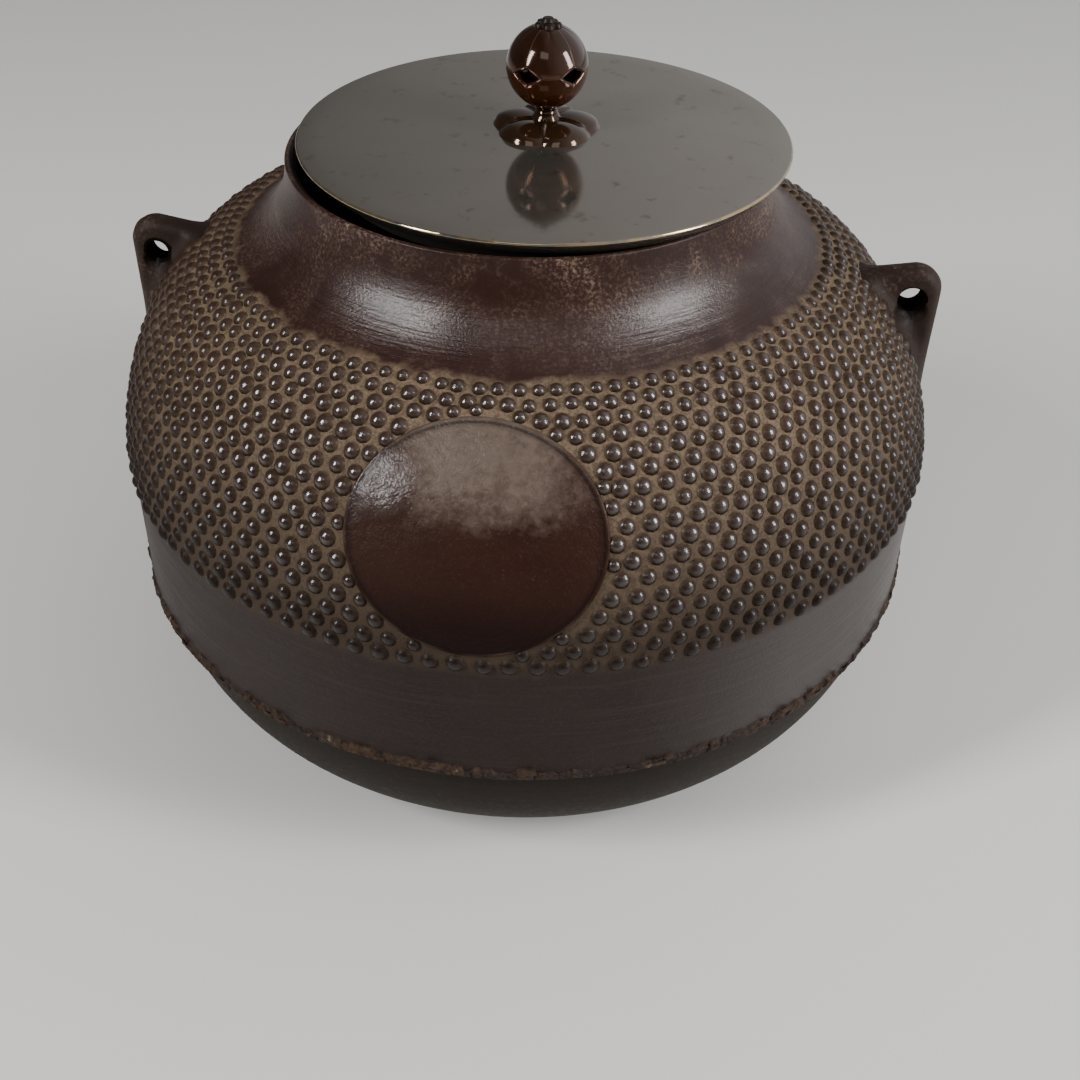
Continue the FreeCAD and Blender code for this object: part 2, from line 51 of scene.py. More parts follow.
def arcTo(line, end, radius, side, steps):
    # adds an arc from the line's last point; side 1 has its centre on the left, -1 on the right
    start = Vector(line[-1])
    finish = Vector(end)
    chord = finish - start
    left = Vector((-chord.y, chord.x)).normalized()
    centre = (start + finish) / 2 + left * side * sqrt(radius ** 2 - (chord.length / 2) ** 2)
    first = atan2(start.y - centre.y, start.x - centre.x)
    sweep = 2 * asin(chord.length / 2 / radius) * side
    for step in range(1, steps + 1):
        angle = first + sweep * step / steps
        line.append((centre.x + radius * cos(angle), centre.y + radius * sin(angle)))


def lineTo(line, end, steps=1):
    start = Vector(line[-1])
    for step in range(1, steps + 1):
        line.append(tuple(start.lerp(Vector(end), step / steps)))


def smoothStep(low, high, value):
    # 0 up to low, 1 from high on, and an eased curve between
    share = min(1.0, max(0.0, (value - low) / (high - low)))
    return share * share * (3 - 2 * share)


def ridge(value, middle, width):
    # 1 at the middle, falling away on both sides
    return exp(-((value - middle) / width) ** 2)


def furthest(inside, near, far):
    # the reach at which inside stops being true, by halving
    for attempt in range(30):
        reach = (near + far) / 2
        if inside(reach):
            near = reach
        else:
            far = reach
    return reach


def spinLine(line, steps, closed=False):
    # turns a (radius, height) line about the kettle's axis
    bm = bmesh.new()
    verts = [bm.verts.new((radius * mm, 0, height * mm)) for radius, height in line]
    edges = [bm.edges.new(pair) for pair in zip(verts, verts[1:])]
    if closed:
        edges.append(bm.edges.new((verts[-1], verts[0])))
    bmesh.ops.spin(bm, geom=verts + edges, cent=(0, 0, 0), axis=(0, 0, 1), angle=fullTurn, steps=steps,
                   use_merge=True, use_duplicate=False)
    bmesh.ops.remove_doubles(bm, verts=bm.verts, dist=1e-6)
    faceOutwards(bm)
    return bm


def faceOutwards(bm):
    bmesh.ops.recalc_face_normals(bm, faces=bm.faces)


def meshFrom(bm, name):
    mesh = bpy.data.meshes.new(name)
    bm.to_mesh(mesh)
    bm.free()
    return mesh


def addObject(name, data):
    added = bpy.data.objects.new(name, data)
    bpy.context.scene.collection.objects.link(added)
    return added


def turned(radius, angle, height=0.0):
    # a point by its radius and angle about the upright axis
    return Vector((radius * cos(angle), radius * sin(angle), height))


def vertexValues(bm, *names):
    # values that the finishes read as attributes
    return [bm.verts.layers.float.new(name) for name in names]


def middleOf(low, high):
    # middle of a box from above
    return (low[0] + high[0]) / 2, (low[1] + high[1]) / 2


def webBetween(bm, inner, outer, cuts):
    # faces between two loops of vertices, cut into rings
    loops = [bm.edges.new((loop[index - 1], loop[index])) for loop in (inner, outer)
             for index in range(len(loop))]
    bmesh.ops.bridge_loops(bm, edges=loops)
    loops = set(loops)
    spokes = [edge for edge in bm.edges if edge not in loops]
    bmesh.ops.subdivide_edges(bm, edges=spokes, cuts=cuts, use_grid_fill=True)


def finishPiece(bm, name, body, skins, replaced=(), sharpAngle=40, subdivide=0, shift=None):
    # skins are names of finishes; shift moves the mesh to its place
    if shift is not None:
        bmesh.ops.transform(bm, matrix=shift, verts=bm.verts)
    mesh = meshFrom(bm, name)
    for skin in skins:
        mesh.materials.append(finishes[skin])
    for polygon in mesh.polygons:
        polygon.use_smooth = True
    if sharpAngle:
        mesh.set_sharp_from_angle(angle=radians(sharpAngle))
    piece = addObject(name, mesh)
    if subdivide:
        smoother = piece.modifiers.new("smooth", "SUBSURF")
        smoother.levels = subdivide
        smoother.render_levels = subdivide
    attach(piece, body)
    if replaced:
        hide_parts(*replaced)
    print("piece", name, len(mesh.polygons), "faces")


# materials: node helpers

mixSockets = {"FLOAT": (2, 3, 0), "RGBA": (6, 7, 2)}  # a mix node's two inputs and its output
sides = {"left": (-95.0, -50.0), "right": (40.0, 85.0)}  # X at which the front turns into the sides


class Value:
    # a node's output; sums, ranges and mixes of values are more nodes beside it
    def __init__(self, owner, socket):
        self.owner = owner
        self.socket = socket

    def reckon(self, operation, other=0.0):
        return self.owner.node("Math", {0: self, 1: other}, "Value", operation=operation)

    def __add__(self, other):
        return self.reckon("ADD", other)

    def __sub__(self, other):
        return self.reckon("SUBTRACT", other)

    def __mul__(self, other):
        return self.reckon("MULTIPLY", other)

    def spread(self, low, high, toLow=0.0, toHigh=1.0):
        # the range from low to high, carried over to another
        ends = {"From Min": low, "From Max": high, "To Min": toLow, "To Max": toHigh}
        return self.owner.node("MapRange", {"Value": self, **ends}, "Result")

    def stretch(self, toLow, toHigh):
        # the usual range of a noise
        return self.spread(0.3, 0.7, toLow, toHigh)

    def uneven(self, toLow, toHigh, most=1.4):
        # the usual range of two noises added up
        return self.spread(0.7, most, toLow, toHigh)

    def between(self, zone, toLow=0.0, toHigh=1.0):
        # a zone in millimetres
        return self.spread(zone[0] * mm, zone[1] * mm, toLow, toHigh)

    def mix(self, first, second, kind="FLOAT"):
        firstInput, secondInput, output = mixSockets[kind]
        inputs = {"Factor": self, firstInput: first, secondInput: second}
        return self.owner.node("Mix", inputs, output, data_type=kind)

    def blend(self, first, second):
        # a mix of colours
        return self.mix(first, second, "RGBA")

    def bump(self, strength, distance, before=None):
        inputs = {"Strength": strength, "Distance": distance * mm, "Height": self}
        if before:
            inputs["Normal"] = before
        return self.owner.node("Bump", inputs, "Normal")


class Nodes:
    # the nodes of a material or a world
    def __init__(self, owner):
        owner.use_nodes = True
        self.tree = owner.node_tree

    def feed(self, node, inputs):
        # values are linked to the inputs, numbers and colours are set on them
        for key, value in inputs.items():
            if isinstance(value, Value):
                self.tree.links.new(value.socket, node.inputs[key])
            else:
                node.inputs[key].default_value = value + (1.0,) if isinstance(value, tuple) else value

    def node(self, kind, inputs, output, **settings):
        node = self.tree.nodes.new("ShaderNode" + kind)
        for key, value in settings.items():
            setattr(node, key, value)
        self.feed(node, inputs)
        return Value(self, node.outputs[output])


class Finish(Nodes):
    # one procedural material with its principled shader
    def __init__(self, name, roughness=0.5, metallic=0.0, gloss=0.5):
        self.material = bpy.data.materials.new(name)
        super().__init__(self.material)
        self.shader = self.tree.nodes["Principled BSDF"]
        self.feed(self.shader, {"Roughness": roughness, "Metallic": metallic, "Specular IOR Level": gloss})
        self.place = self.node("TexCoord", {}, "Object")

    def noise(self, scale, detail=4.0, rough=0.55, vector=None, warp=0.0):
        inputs = {"Scale": scale, "Detail": detail, "Roughness": rough, "Distortion": warp}
        return self.node("TexNoise", {"Vector": vector or self.place, **inputs}, "Fac")

    def attribute(self, name):
        return self.node("Attribute", {}, "Fac", attribute_name=name)

    def axis(self, name):
        return self.node("SeparateXYZ", {"Vector": self.place}, name)

    def axisCoords(self, centre=(0.0, 0.0)):
        # angle, height and radius about an upright axis
        x = self.axis("X") - centre[0]
        y = self.axis("Y") - centre[1]
        return y.reckon("ARCTAN2", x), self.axis("Z"), (x * x + y * y).reckon("POWER", 0.5)

    def bySide(self, left, front, right):
        # a value for the kettle's left side, its front and its right side
        x = self.axis("X")
        return x.between(sides["left"], left, front) * x.between(sides["right"], 1.0, right / front)

    def wheelMarks(self, around, along, scale, detail=3.0, rough=0.6):
        # noise drawn out round the axis, as a turning wheel leaves it
        angle, height, radius = self.axisCoords()
        inputs = {"X": angle * around, "Y": height * along, "Z": radius * along}
        return self.noise(scale, detail, rough, self.node("CombineXYZ", inputs, "Vector"))

    def polish(self, weight, roughness, normal):
        # a thin glossy skin where weight says so
        self.feed(self.shader, {"Coat Weight": weight, "Coat Roughness": roughness, "Coat Normal": normal})

    def paint(self, colour, roughness=None, normal=None):
        inputs = {"Base Color": colour, "Roughness": roughness, "Normal": normal}
        self.feed(self.shader, {key: value for key, value in inputs.items() if value})
        return self.material


zones = {  # heights at which part of the wall's look starts and is full
    "neck": (156.0, 157.2),
    "upperNeck": (164.0, 176.0),
    "neckShine": (170.8, 167.2),
    "lowDust": (145.0, 100.0),
    "lowStuds": (142.0, 100.0),
    "studShine": (100.0, 135.0),
    "band": (94.6, 92.2),
}
paintedShadeShare = 0.4  # share of the panel's shade-and-sheen value that paints shade towards the bottom, below its painted pale sheen


def shellIron():
    # bare neck, dusty ground between the studs and plain turned band, by height
    finish = Finish("shellIron", gloss=0.12)
    height = finish.axis("Z")
    ragged = 0.6 * mm  # unevenness of the zones' edges
    patchy = 1.6 * mm  # and of the polish on the neck
    patches = finish.noise(38, 5, 0.62, warp=0.4)
    grain = finish.noise(1100, 4, 0.7)
    marks = finish.wheelMarks(2.0, 420, 1.4)
    wander = height + finish.noise(160, 3).stretch(-ragged, ragged)
    neck = wander.between(zones["neck"])
    band = wander.between(zones["band"])
    upper = wander.between(zones["upperNeck"])

    worn = patches.spread(0.43, 0.62) * grain.spread(0.48, 0.66)
    worn = worn * upper.mix(0.35, 1.0)
    neckColour = patches.blend((0.011, 0.0038, 0.0028), (0.034, 0.0146, 0.0112))
    neckColour = worn.blend(neckColour, (0.17, 0.115, 0.08))
    dust = finish.noise(30, 4, 0.6).blend((0.097, 0.067, 0.043), (0.182, 0.128, 0.081))
    dust = height.between(zones["lowDust"]).blend(dust, (0.037, 0.025, 0.0165))
    dust = grain.spread(0.42, 0.72).blend(dust, (0.04, 0.026, 0.018))
    bandColour = patches.blend((0.009, 0.0051, 0.0042), (0.0225, 0.014, 0.0117))
    bandColour = marks.spread(0.55, 0.85).blend(bandColour, (0.03, 0.0205, 0.018))
    bandColour = grain.spread(0.5, 0.8).blend(bandColour, (0.028, 0.0182, 0.0154))
    colour = band.blend(neck.blend(dust, neckColour), bandColour)

    neckRough = (patches + grain).uneven(0.26, 0.46)
    bandRough = (patches + marks).uneven(0.38, 0.54, 1.3)
    roughness = band.mix(neck.mix(0.68, neckRough), bandRough)
    turning = neck + band * 0.45
    ridges = marks * upper.mix(turning, 0.25)
    rough = (neck + band).mix(1.0, 0.45)
    fine = (grain * rough).bump(0.8, 0.36)
    normal = ridges.bump(0.55, 0.5, fine)
    sparkle = ridges.bump(0.55, 0.4, grain.bump(0.5, 0.28))
    shine = finish.bySide(0.12, 0.68, 0.16) * patches.spread(0.35, 0.6, 0.5)
    lower = wander + (patches + grain).spread(0.8, 1.2, -patchy, patchy)
    shine = shine * lower.between(zones["neckShine"], 0.12)
    sheen = band * finish.bySide(0.02, 0.01, 0.38)
    finish.polish(neck * shine + sheen, 0.18, sparkle)
    return finish.paint(colour, roughness, normal)


def earIron():
    finish = Finish("earIron", gloss=0.10)
    patches = finish.noise(55, 5, 0.62, warp=0.4)
    grain = finish.noise(850, 4, 0.7)
    worn = patches.spread(0.5, 0.7) * grain.spread(0.52, 0.66)
    ground = patches.blend((0.01, 0.0055, 0.0043), (0.03, 0.018, 0.0138))
    colour = worn.blend(ground, (0.09, 0.062, 0.044))
    # near black painted shade round the hole
    colour = finish.attribute("scoopAndShade").blend(colour, (0.003, 0.0022, 0.0018))
    roughness = (patches + grain).uneven(0.42, 0.66)
    broad = patches.bump(0.3, 1.2)
    return finish.paint(colour, roughness, grain.bump(0.45, 0.3, broad))


def paintedBoreShade():
    # near black, painted shade inside the lugs' holes
    finish = Finish("paintedBoreShade", roughness=1.0, gloss=0.0)
    return finish.paint(finish.noise(600).blend((0.003, 0.002, 0.0015), (0.008, 0.0055, 0.004)))


def studIron():
    finish = Finish("studIron", gloss=0.06)
    height = finish.axis("Z")
    crest = finish.attribute("crest")
    patches = finish.noise(60, 4, 0.6)
    grain = finish.noise(1100, 3, 0.65)
    dark = patches.blend((0.015, 0.0076, 0.0054), (0.041, 0.0225, 0.016))
    dark = height.between(zones["lowStuds"]).blend(dark, (0.0105, 0.0059, 0.0045))
    dusted = crest.spread(0.72, 0.1) * grain.spread(0.28, 0.58)
    low = height.between(zones["lowDust"])
    footDust = low.blend((0.118, 0.083, 0.053), (0.036, 0.0248, 0.0166))
    colour = dusted.blend(dark, footDust)
    # painted shade on each stud's lower side
    colour = finish.attribute("under").blend(colour, (0.0085, 0.0046, 0.0035))
    roughness = (dusted + patches).spread(0.3, 1.4, 0.3, 0.62)
    normal = grain.bump(0.55, 0.35)
    shine = crest.spread(0.55, 0.95, 0.03) * finish.bySide(0.12, 1.0, 0.52)
    shine = shine * height.between(zones["studShine"], 0.28)
    finish.feed(finish.shader, {"Coat IOR": 1.75})
    finish.polish(shine, 0.15, grain.bump(0.3, 0.3))
    return finish.paint(colour, roughness, normal)


def panelIron():
    # dark red brown, with a painted dull pale sheen on the upper half, painted shade towards the bottom
    # and a polished patch
    finish = Finish("panelIron", gloss=0.07)
    patches = finish.noise(32, 5, 0.6, warp=0.5)
    skin = finish.noise(420, 4, 0.65)
    grain = finish.noise(1500, 3, 0.65)
    wrinkles = finish.noise(62, 4, 0.6, warp=0.5)
    crest = finish.attribute("crest")
    gloss = finish.attribute("gloss")
    shadeAndSheen = finish.attribute("shadeAndSheen")
    ground = patches.blend((0.013, 0.0042, 0.0028), (0.034, 0.0135, 0.0085))
    ground = grain.spread(0.6, 0.8).blend(ground, (0.062, 0.036, 0.026))
    # painted shade: near black towards the panel's bottom
    ground = shadeAndSheen.spread(0.0, paintedShadeShare).blend((0.008, 0.0023, 0.0018), ground)
    # painted pale sheen on the upper half, broken up by noise
    pale = skin.blend((0.05, 0.034, 0.025), (0.12, 0.089, 0.069))
    paintedSheen = shadeAndSheen.spread(paintedShadeShare, 1.0) + (skin + patches).uneven(-0.28, 0.28, 1.2)
    paintedSheen = paintedSheen * shadeAndSheen.spread(paintedShadeShare, 0.55)
    colour = paintedSheen.spread(0.05, 0.95).blend(ground, pale)
    colour = crest.blend(colour, (0.06, 0.038, 0.027))
    # painted shade of a cut line round the edge, which the mesh doesn't have
    colour = finish.attribute("paintedGrooveShade").blend(colour, (0.006, 0.0028, 0.0022))
    roughness = (patches + skin).uneven(0.34, 0.52)
    waves = (wrinkles * gloss).bump(0.8, 2.4)
    orange = skin.bump(0.65, 0.6, waves)
    normal = grain.bump(0.6, 0.32, orange)
    shine = gloss.reckon("MAXIMUM", shadeAndSheen.spread(paintedShadeShare, 1.0, 0.02, 0.28))
    finish.polish(shine, 0.2, normal)
    return finish.paint(colour, roughness, normal)


def rustyLip():
    finish = Finish("rustyLip", gloss=0.15)
    patches = finish.noise(70, 4, 0.65)
    grit = finish.noise(650, 4, 0.7)
    proud = finish.attribute("crest")
    rust = patches.blend((0.017, 0.009, 0.0064), (0.06, 0.0325, 0.0155))
    rust = grit.spread(0.45, 0.7).blend(rust, (0.016, 0.01, 0.008))
    flakes = finish.noise(240, 2).spread(0.66, 0.74) * proud
    colour = flakes.blend(rust, (0.15, 0.104, 0.066))
    colour = proud.blend((0.016, 0.0105, 0.009), colour)
    roughness = grit.stretch(0.45, 0.85)
    return finish.paint(colour, roughness, grit.bump(0.9, 0.5))


def bottomIron():
    finish = Finish("bottomIron", gloss=0.06)
    patches = finish.noise(28, 5, 0.6)
    grain = finish.noise(600, 4, 0.65)
    marks = finish.wheelMarks(3.0, 260, 1.5)
    ground = patches.blend((0.0085, 0.0064, 0.005), (0.02, 0.0152, 0.0118))
    colour = grain.spread(0.5, 0.8).blend(ground, (0.032, 0.023, 0.0155))
    roughness = grain.stretch(0.46, 0.66)
    fine = grain.bump(0.35, 0.25)
    return finish.paint(colour, roughness, marks.bump(0.25, 0.3, fine))


def innerIron():
    finish = Finish("innerIron", gloss=0.25)
    patches = finish.noise(40, 4, 0.6)
    grain = finish.noise(500, 4, 0.7)
    ground = patches.blend((0.01, 0.008, 0.007), (0.032, 0.019, 0.014))
    roughness = grain.stretch(0.6, 0.85)
    return finish.paint(ground, roughness, grain.bump(0.6, 0.4))


def lidBronze(centre, edgeRadius):
    finish = Finish("lidBronze", metallic=0.9)
    radius = finish.axisCoords(centre)[2]
    brightEdge = (edgeRadius - 0.7, edgeRadius - 0.3)
    clouds = finish.noise(14, 4, 0.55, warp=0.6)
    blots = finish.noise(130, 4, 0.65)
    scuffs = finish.noise(700, 2, 0.6)
    patina = clouds.blend((0.205, 0.178, 0.148), (0.29, 0.264, 0.232))
    spotted = blots.spread(0.6, 0.74).blend(patina, (0.135, 0.1, 0.076))
    worn = radius.between(brightEdge) * blots.spread(0.4, 0.56)
    colour = worn.blend(spotted, (0.42, 0.33, 0.2))
    roughness = (clouds + blots).uneven(0.06, 0.13, 1.3)
    return finish.paint(colour, roughness, (scuffs + blots).bump(0.04, 0.12))


def knobSkin(finish):
    # the knob's pattern, grain and roughness, under a thin lacquer
    clouds = finish.noise(120, 4, 0.6)
    grain = finish.noise(900, 2, 0.6)
    finish.feed(finish.shader, {"Coat Weight": 0.35, "Coat Roughness": 0.05})
    return clouds, grain, (clouds + grain).uneven(0.07, 0.15, 1.3)


def knobBronze():
    finish = Finish("knobBronze", metallic=0.65, gloss=0.4)
    clouds, grain, roughness = knobSkin(finish)
    colour = clouds.blend((0.02, 0.0088, 0.0038), (0.056, 0.0265, 0.0115))
    return finish.paint(colour, roughness, grain.bump(0.04, 0.1))


def ballBronze(centre, equator, firstStar, lobes):
    # the knob's bronze, amber below, with a fine line over each star and round the equator
    finish = Finish("ballBronze", metallic=0.55, gloss=0.4)
    clouds, grain, roughness = knobSkin(finish)
    angle, height, radius = finish.axisCoords(centre)
    share = fullTurn / lobes
    turns = (angle - firstStar).reckon("DIVIDE", share)
    off = turns - turns.reckon("ROUND")
    away = off.reckon("ABSOLUTE") * share * radius
    seam = (height - equator * mm).reckon("ABSOLUTE")
    lines = away.reckon("MINIMUM", seam).between((0.2, 0.06))
    amber = height.between((equator + 4, equator - 6))
    colour = clouds.blend((0.013, 0.0044, 0.0021), (0.042, 0.0152, 0.006))
    colour = amber.blend(colour, (0.062, 0.0185, 0.0042))
    colour = lines.blend(colour, (0.06, 0.034, 0.02))
    scored = lines.bump(0.35, 0.12)
    return finish.paint(colour, lines.mix(roughness, 0.3), grain.bump(0.04, 0.1, scored))


def plainFinish(name, scale, colours, roughness, bump, **shader):
    # one noise for colour, roughness and bump, each given by its two ends or sizes
    finish = Finish(name, **shader)
    pattern = finish.noise(scale, 4, 0.6)
    colour = pattern.blend(*colours)
    return finish.paint(colour, pattern.stretch(*roughness), pattern.bump(*bump))


finishes = {
    "shell": shellIron(),
    "ear": earIron(),
    "bore": paintedBoreShade(),
    "stud": studIron(),
    "panel": panelIron(),
    "lip": rustyLip(),
    "bottom": bottomIron(),
    "inner": innerIron(),
    "knob": knobBronze(),
    "rosette": plainFinish("darkBronze", 300, ((0.006, 0.0036, 0.0025), (0.02, 0.0122, 0.0082)),
                           (0.3, 0.5), (0.3, 0.2), metallic=0.3, gloss=0.15),
    "lacquer": plainFinish("blackLacquer", 400, ((0.01, 0.009, 0.008), (0.035, 0.026, 0.02)),
                           (0.35, 0.6), (0.5, 0.3)),
}
print("materials made")


# kettle wall: the line of its outer face, between the frame's rim and lip

bodyLow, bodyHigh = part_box("kettle_body")
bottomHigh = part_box("kettle_bottom")[1]
wall = {
    "rimRadius": 69.2,
    "rimHeight": bodyHigh[2] / mm,
    "rimFlat": 1.3,
    "rimWidth": 3.2,
    "rimWear": 0.5,  # rounding of the rim's outer edge
    "rimBevel": 2.0,  # drop from the rim's flat to the inside
    "collarDepth": 9.5,
    "neckFlare": 15.4,
    "neckDepth": 24.4,
    "neckArc": 27.0,
    "shoulderRun": 19.6,
    "shoulderDrop": 12.7,
    "shoulderArc": 45.0,
    "bellyRadius": 124.3,
    "bellyHeight": 92.0,
    "bellyArc": 78.0,
    "skirtFlare": 0.4,
    "lipHeight": bodyLow[2] / mm,
    "thickness": 2.0,
    "jointOut": (0.74, 0.67),  # outward direction at the shoulder joint
    "rootOut": (0.37, 0.93),  # and at the neck's root
    "studFoot": 95.0,  # where the studs end and the plain band starts
    "steps": 288,
}
neckRoot = (wall["rimRadius"] + wall["neckFlare"], wall["rimHeight"] - wall["neckDepth"])
shoulderJoint = (neckRoot[0] + wall["shoulderRun"], neckRoot[1] - wall["shoulderDrop"])
bellyPoint = (wall["bellyRadius"], wall["bellyHeight"])
skirtRadius = wall["bellyRadius"] + wall["skirtFlare"]

shoulderLine = [neckRoot]  # studded part of the wall
arcTo(shoulderLine, shoulderJoint, wall["shoulderArc"], side=-1, steps=16)
arcTo(shoulderLine, bellyPoint, wall["bellyArc"], side=-1, steps=30)
shoulderLengths = [0.0]
shoulderPairs = list(zip(shoulderLine, shoulderLine[1:]))
for before, after in shoulderPairs:
    shoulderLengths.append(shoulderLengths[-1] + dist(before, after))


def onShoulder(length):
    # point and outward direction of the wall, a length below the neck root
    for index, (before, after) in enumerate(shoulderPairs):
        begun, ended = shoulderLengths[index:index + 2]
        if length <= ended or after == shoulderLine[-1]:
            start = Vector(before)
            along = Vector(after) - start
            out = Vector((-along.y, along.x)).normalized()
            return start + along * ((length - begun) / (ended - begun)), out


def wallRadius(height):
    # radius of the outer wall at a height between the neck root and the lip
    if height <= wall["bellyHeight"]:
        return wall["bellyRadius"]
    for before, after in shoulderPairs:
        if after[1] <= height <= before[1]:
            share = (height - after[1]) / (before[1] - after[1])
            return after[0] + (before[0] - after[0]) * share
    return neckRoot[0]


def makeShell():
    rim = (wall["rimRadius"], wall["rimHeight"])
    inside = rim[0] - wall["rimWidth"]
    wear = wall["rimWear"]
    thick = wall["thickness"]
    outer = [(rim[0] - wall["rimFlat"], rim[1]), (rim[0] - wear, rim[1])]
    arcTo(outer, (rim[0], rim[1] - wear), wear, side=-1, steps=4)
    arcTo(outer, neckRoot, wall["neckArc"], side=1, steps=26)
    outer += shoulderLine[1:]
    lineTo(outer, (skirtRadius, wall["lipHeight"]), steps=10)

    def inward(point, out):
        return point[0] - thick * out[0], point[1] - thick * out[1]

    inner = [(skirtRadius - thick, wall["lipHeight"])]
    lineTo(inner, (bellyPoint[0] - thick, bellyPoint[1]), steps=4)
    arcTo(inner, inward(shoulderJoint, wall["jointOut"]), wall["bellyArc"] - thick, side=1, steps=14)
    arcTo(inner, inward(neckRoot, wall["rootOut"]), wall["shoulderArc"] - thick, side=1, steps=8)
    arcTo(inner, (inside, rim[1] - wall["collarDepth"]), wall["neckArc"] + thick, side=-1, steps=10)
    lineTo(inner, (inside, rim[1] - wall["rimBevel"]), steps=3)
    bm = spinLine(outer + inner, wall["steps"], closed=True)
    for face in bm.faces:
        middle = face.calc_center_median() / mm
        outward = Vector((middle.x, middle.y, 0))
        if face.normal.dot(outward) < 0 and middle.z < rim[1] - wear:
            face.material_index = 1
    finishPiece(bm, "kettleShell", "kettle", ["shell", "inner"], ["kettle_body"],
                sharpAngle=50)


makeShell()


# round panel on the front: its axis leans up from the kettle's axis

panel = {
    "halfWidth": 33.2,
    "halfHeight": 30.2,
    "tilt": 30.0,
    "axisDrop": 81.8,  # below the shoulder joint
    "axisReach": (60.0, 170.0),  # the wall is met between these
    "segments": 160,
    "edgeRings": [0.25, 0.30, 0.30, 0.30, 0.30, 0.45],  # widths, from the edge in
    "rings": 30,
    "rise": 0.75,  # face above the wall
    "riseRun": (-0.05, 0.35),  # runs and places are counted from the edge in
    "tuck": 0.5,  # edge let into the wall
    "tuckRun": (0.0, 0.25),
    "bead": 0.95,  # worn line round the edge
    "beadPlace": 0.55,
    "beadWidth": 0.32,
    "paintedGrooveShade": 0.8,  # darkness of a painted shaded line inside it, where the mesh is flat
    "groovePlace": 1.4,
    "grooveWidth": 0.5,
    "ripple": 0.12,
    "rippleRun": (1.0, 3.0),
    "rippleScale": 0.11,
    "wearScale": 0.18,
    "patchScale": 0.09,
    "patchLeft": 24.0,  # polished patch, from the panel's middle
    "patchUp": 12.0,
    "patchSize": (11.0, 8.5),
    "patchRun": (0.5, 1.5),
    "paintedShadeRun": (-27, -3),  # painted shade fading out upwards, from the panel's middle
    "sheenRun": (-4, 18),  # painted pale sheen, upwards
    "sheenSides": (7, 27),  # and where it fades to the sides
}
panelBase = Vector((0, 0, shoulderJoint[1] - panel["axisDrop"]))
panelTilt = radians(panel["tilt"])
panelAxis = Vector((0, -cos(panelTilt), sin(panelTilt)))
panelUp = Vector((0, sin(panelTilt), cos(panelTilt)))
farOff = 1000.0  # more than any distance on the kettle


def panelToWall(across, up):
    # where a line along the panel's axis leaves the wall
    def spot(reach):
        return panelBase + Vector((across, 0, 0)) + panelUp * up + panelAxis * reach

    def inside(reach):
        point = spot(reach)
        return hypot(point.x, point.y) < wallRadius(point.z)

    return spot(furthest(inside, *panel["axisReach"]))


def panelShare(point):
    # across and up from the panel's middle, and the share of the way to its edge
    offset = point - panelBase
    across, up = offset.x, offset.dot(panelUp)
    return across, up, hypot(across / panel["halfWidth"], up / panel["halfHeight"])


def outsidePanel(point):
    # rough distance outside the panel's edge, far off behind the kettle
    if (point - panelBase).dot(panelAxis) < 0:
        return farOff
    return (panelShare(point)[2] - 1) * panel["halfHeight"]


def besidePanel(point, gap):
    # the point on the wall that is a gap outside the panel's edge
    across, up, share = panelShare(point)
    wider = (1 + gap / panel["halfHeight"]) / share
    return panelToWall(across * wider, up * wider)


def makePanel():
    bm = bmesh.new()
    bmesh.ops.create_circle(bm, cap_ends=True, segments=panel["segments"], radius=panel["halfHeight"])
    remaining = panel["halfHeight"] - sum(panel["edgeRings"])
    evenRings = [remaining / panel["rings"]] * (panel["rings"] - 1)
    for step in panel["edgeRings"] + evenRings:
        inner = [face for face in bm.faces if len(face.verts) > 4]
        bmesh.ops.inset_region(bm, faces=inner, thickness=step, use_even_offset=True, use_boundary=True)
    bmesh.ops.poke(bm, faces=[face for face in bm.faces if len(face.verts) > 4])
    crest, gloss, shadeAndSheen, paintedGrooveShade = vertexValues(bm, "crest", "gloss", "shadeAndSheen", "paintedGrooveShade")
    for vert in bm.verts:
        across = vert.co.x * panel["halfWidth"] / panel["halfHeight"]
        up = vert.co.y
        edge = panel["halfHeight"] - hypot(vert.co.x, vert.co.y)
        foot = panelToWall(across, up)
        bead = ridge(edge, panel["beadPlace"], panel["beadWidth"])
        lift = panel["rise"] * smoothStep(*panel["riseRun"], edge) + (panel["bead"] - panel["rise"]) * bead
        lift -= panel["tuck"] * (1 - smoothStep(*panel["tuckRun"], edge))
        ripple = noise.fractal(foot * panel["rippleScale"], 0.8, 2.0, 3) * panel["ripple"]
        ripple *= smoothStep(*panel["rippleRun"], edge)
        worn = noise.noise(foot * panel["wearScale"]) * 0.9 + 0.25
        vert[crest] = min(1.0, max(0.0, bead * worn))
        # painted shade of a cut line, not in the mesh
        vert[paintedGrooveShade] = panel["paintedGrooveShade"] * ridge(edge, panel["groovePlace"], panel["grooveWidth"])
        uneven = noise.noise(foot * panel["patchScale"] + Vector((3, 1, 2)))
        patch = hypot((across + panel["patchLeft"]) / panel["patchSize"][0],
                      (up - panel["patchUp"]) / panel["patchSize"][1]) + uneven * 0.5
        vert[gloss] = 1 - smoothStep(*panel["patchRun"], patch)
        # painted pale sheen on the upper half, fading to the sides
        sheen = smoothStep(*panel["sheenRun"], up + uneven * 4)
        sheen *= 1 - 0.8 * smoothStep(*panel["sheenSides"], abs(across - 1))
        # low values paint shade towards the bottom, high values paint the pale sheen
        vert[shadeAndSheen] = paintedShadeShare * smoothStep(*panel["paintedShadeRun"], up)
        vert[shadeAndSheen] += (1 - paintedShadeShare) * sheen * (1 - 0.6 * vert[gloss])
        out = Vector((foot.x, foot.y, 0)).normalized() * cos(panelTilt)
        out.z = sin(panelTilt)
        vert.co = (foot + out * (lift + ripple)) * mm
    faceOutwards(bm)
    finishPiece(bm, "roundPanel", "kettle", ["panel"], sharpAngle=0)


makePanel()


# hailstone studs: rows of domes, each row nearly half a step off the row above

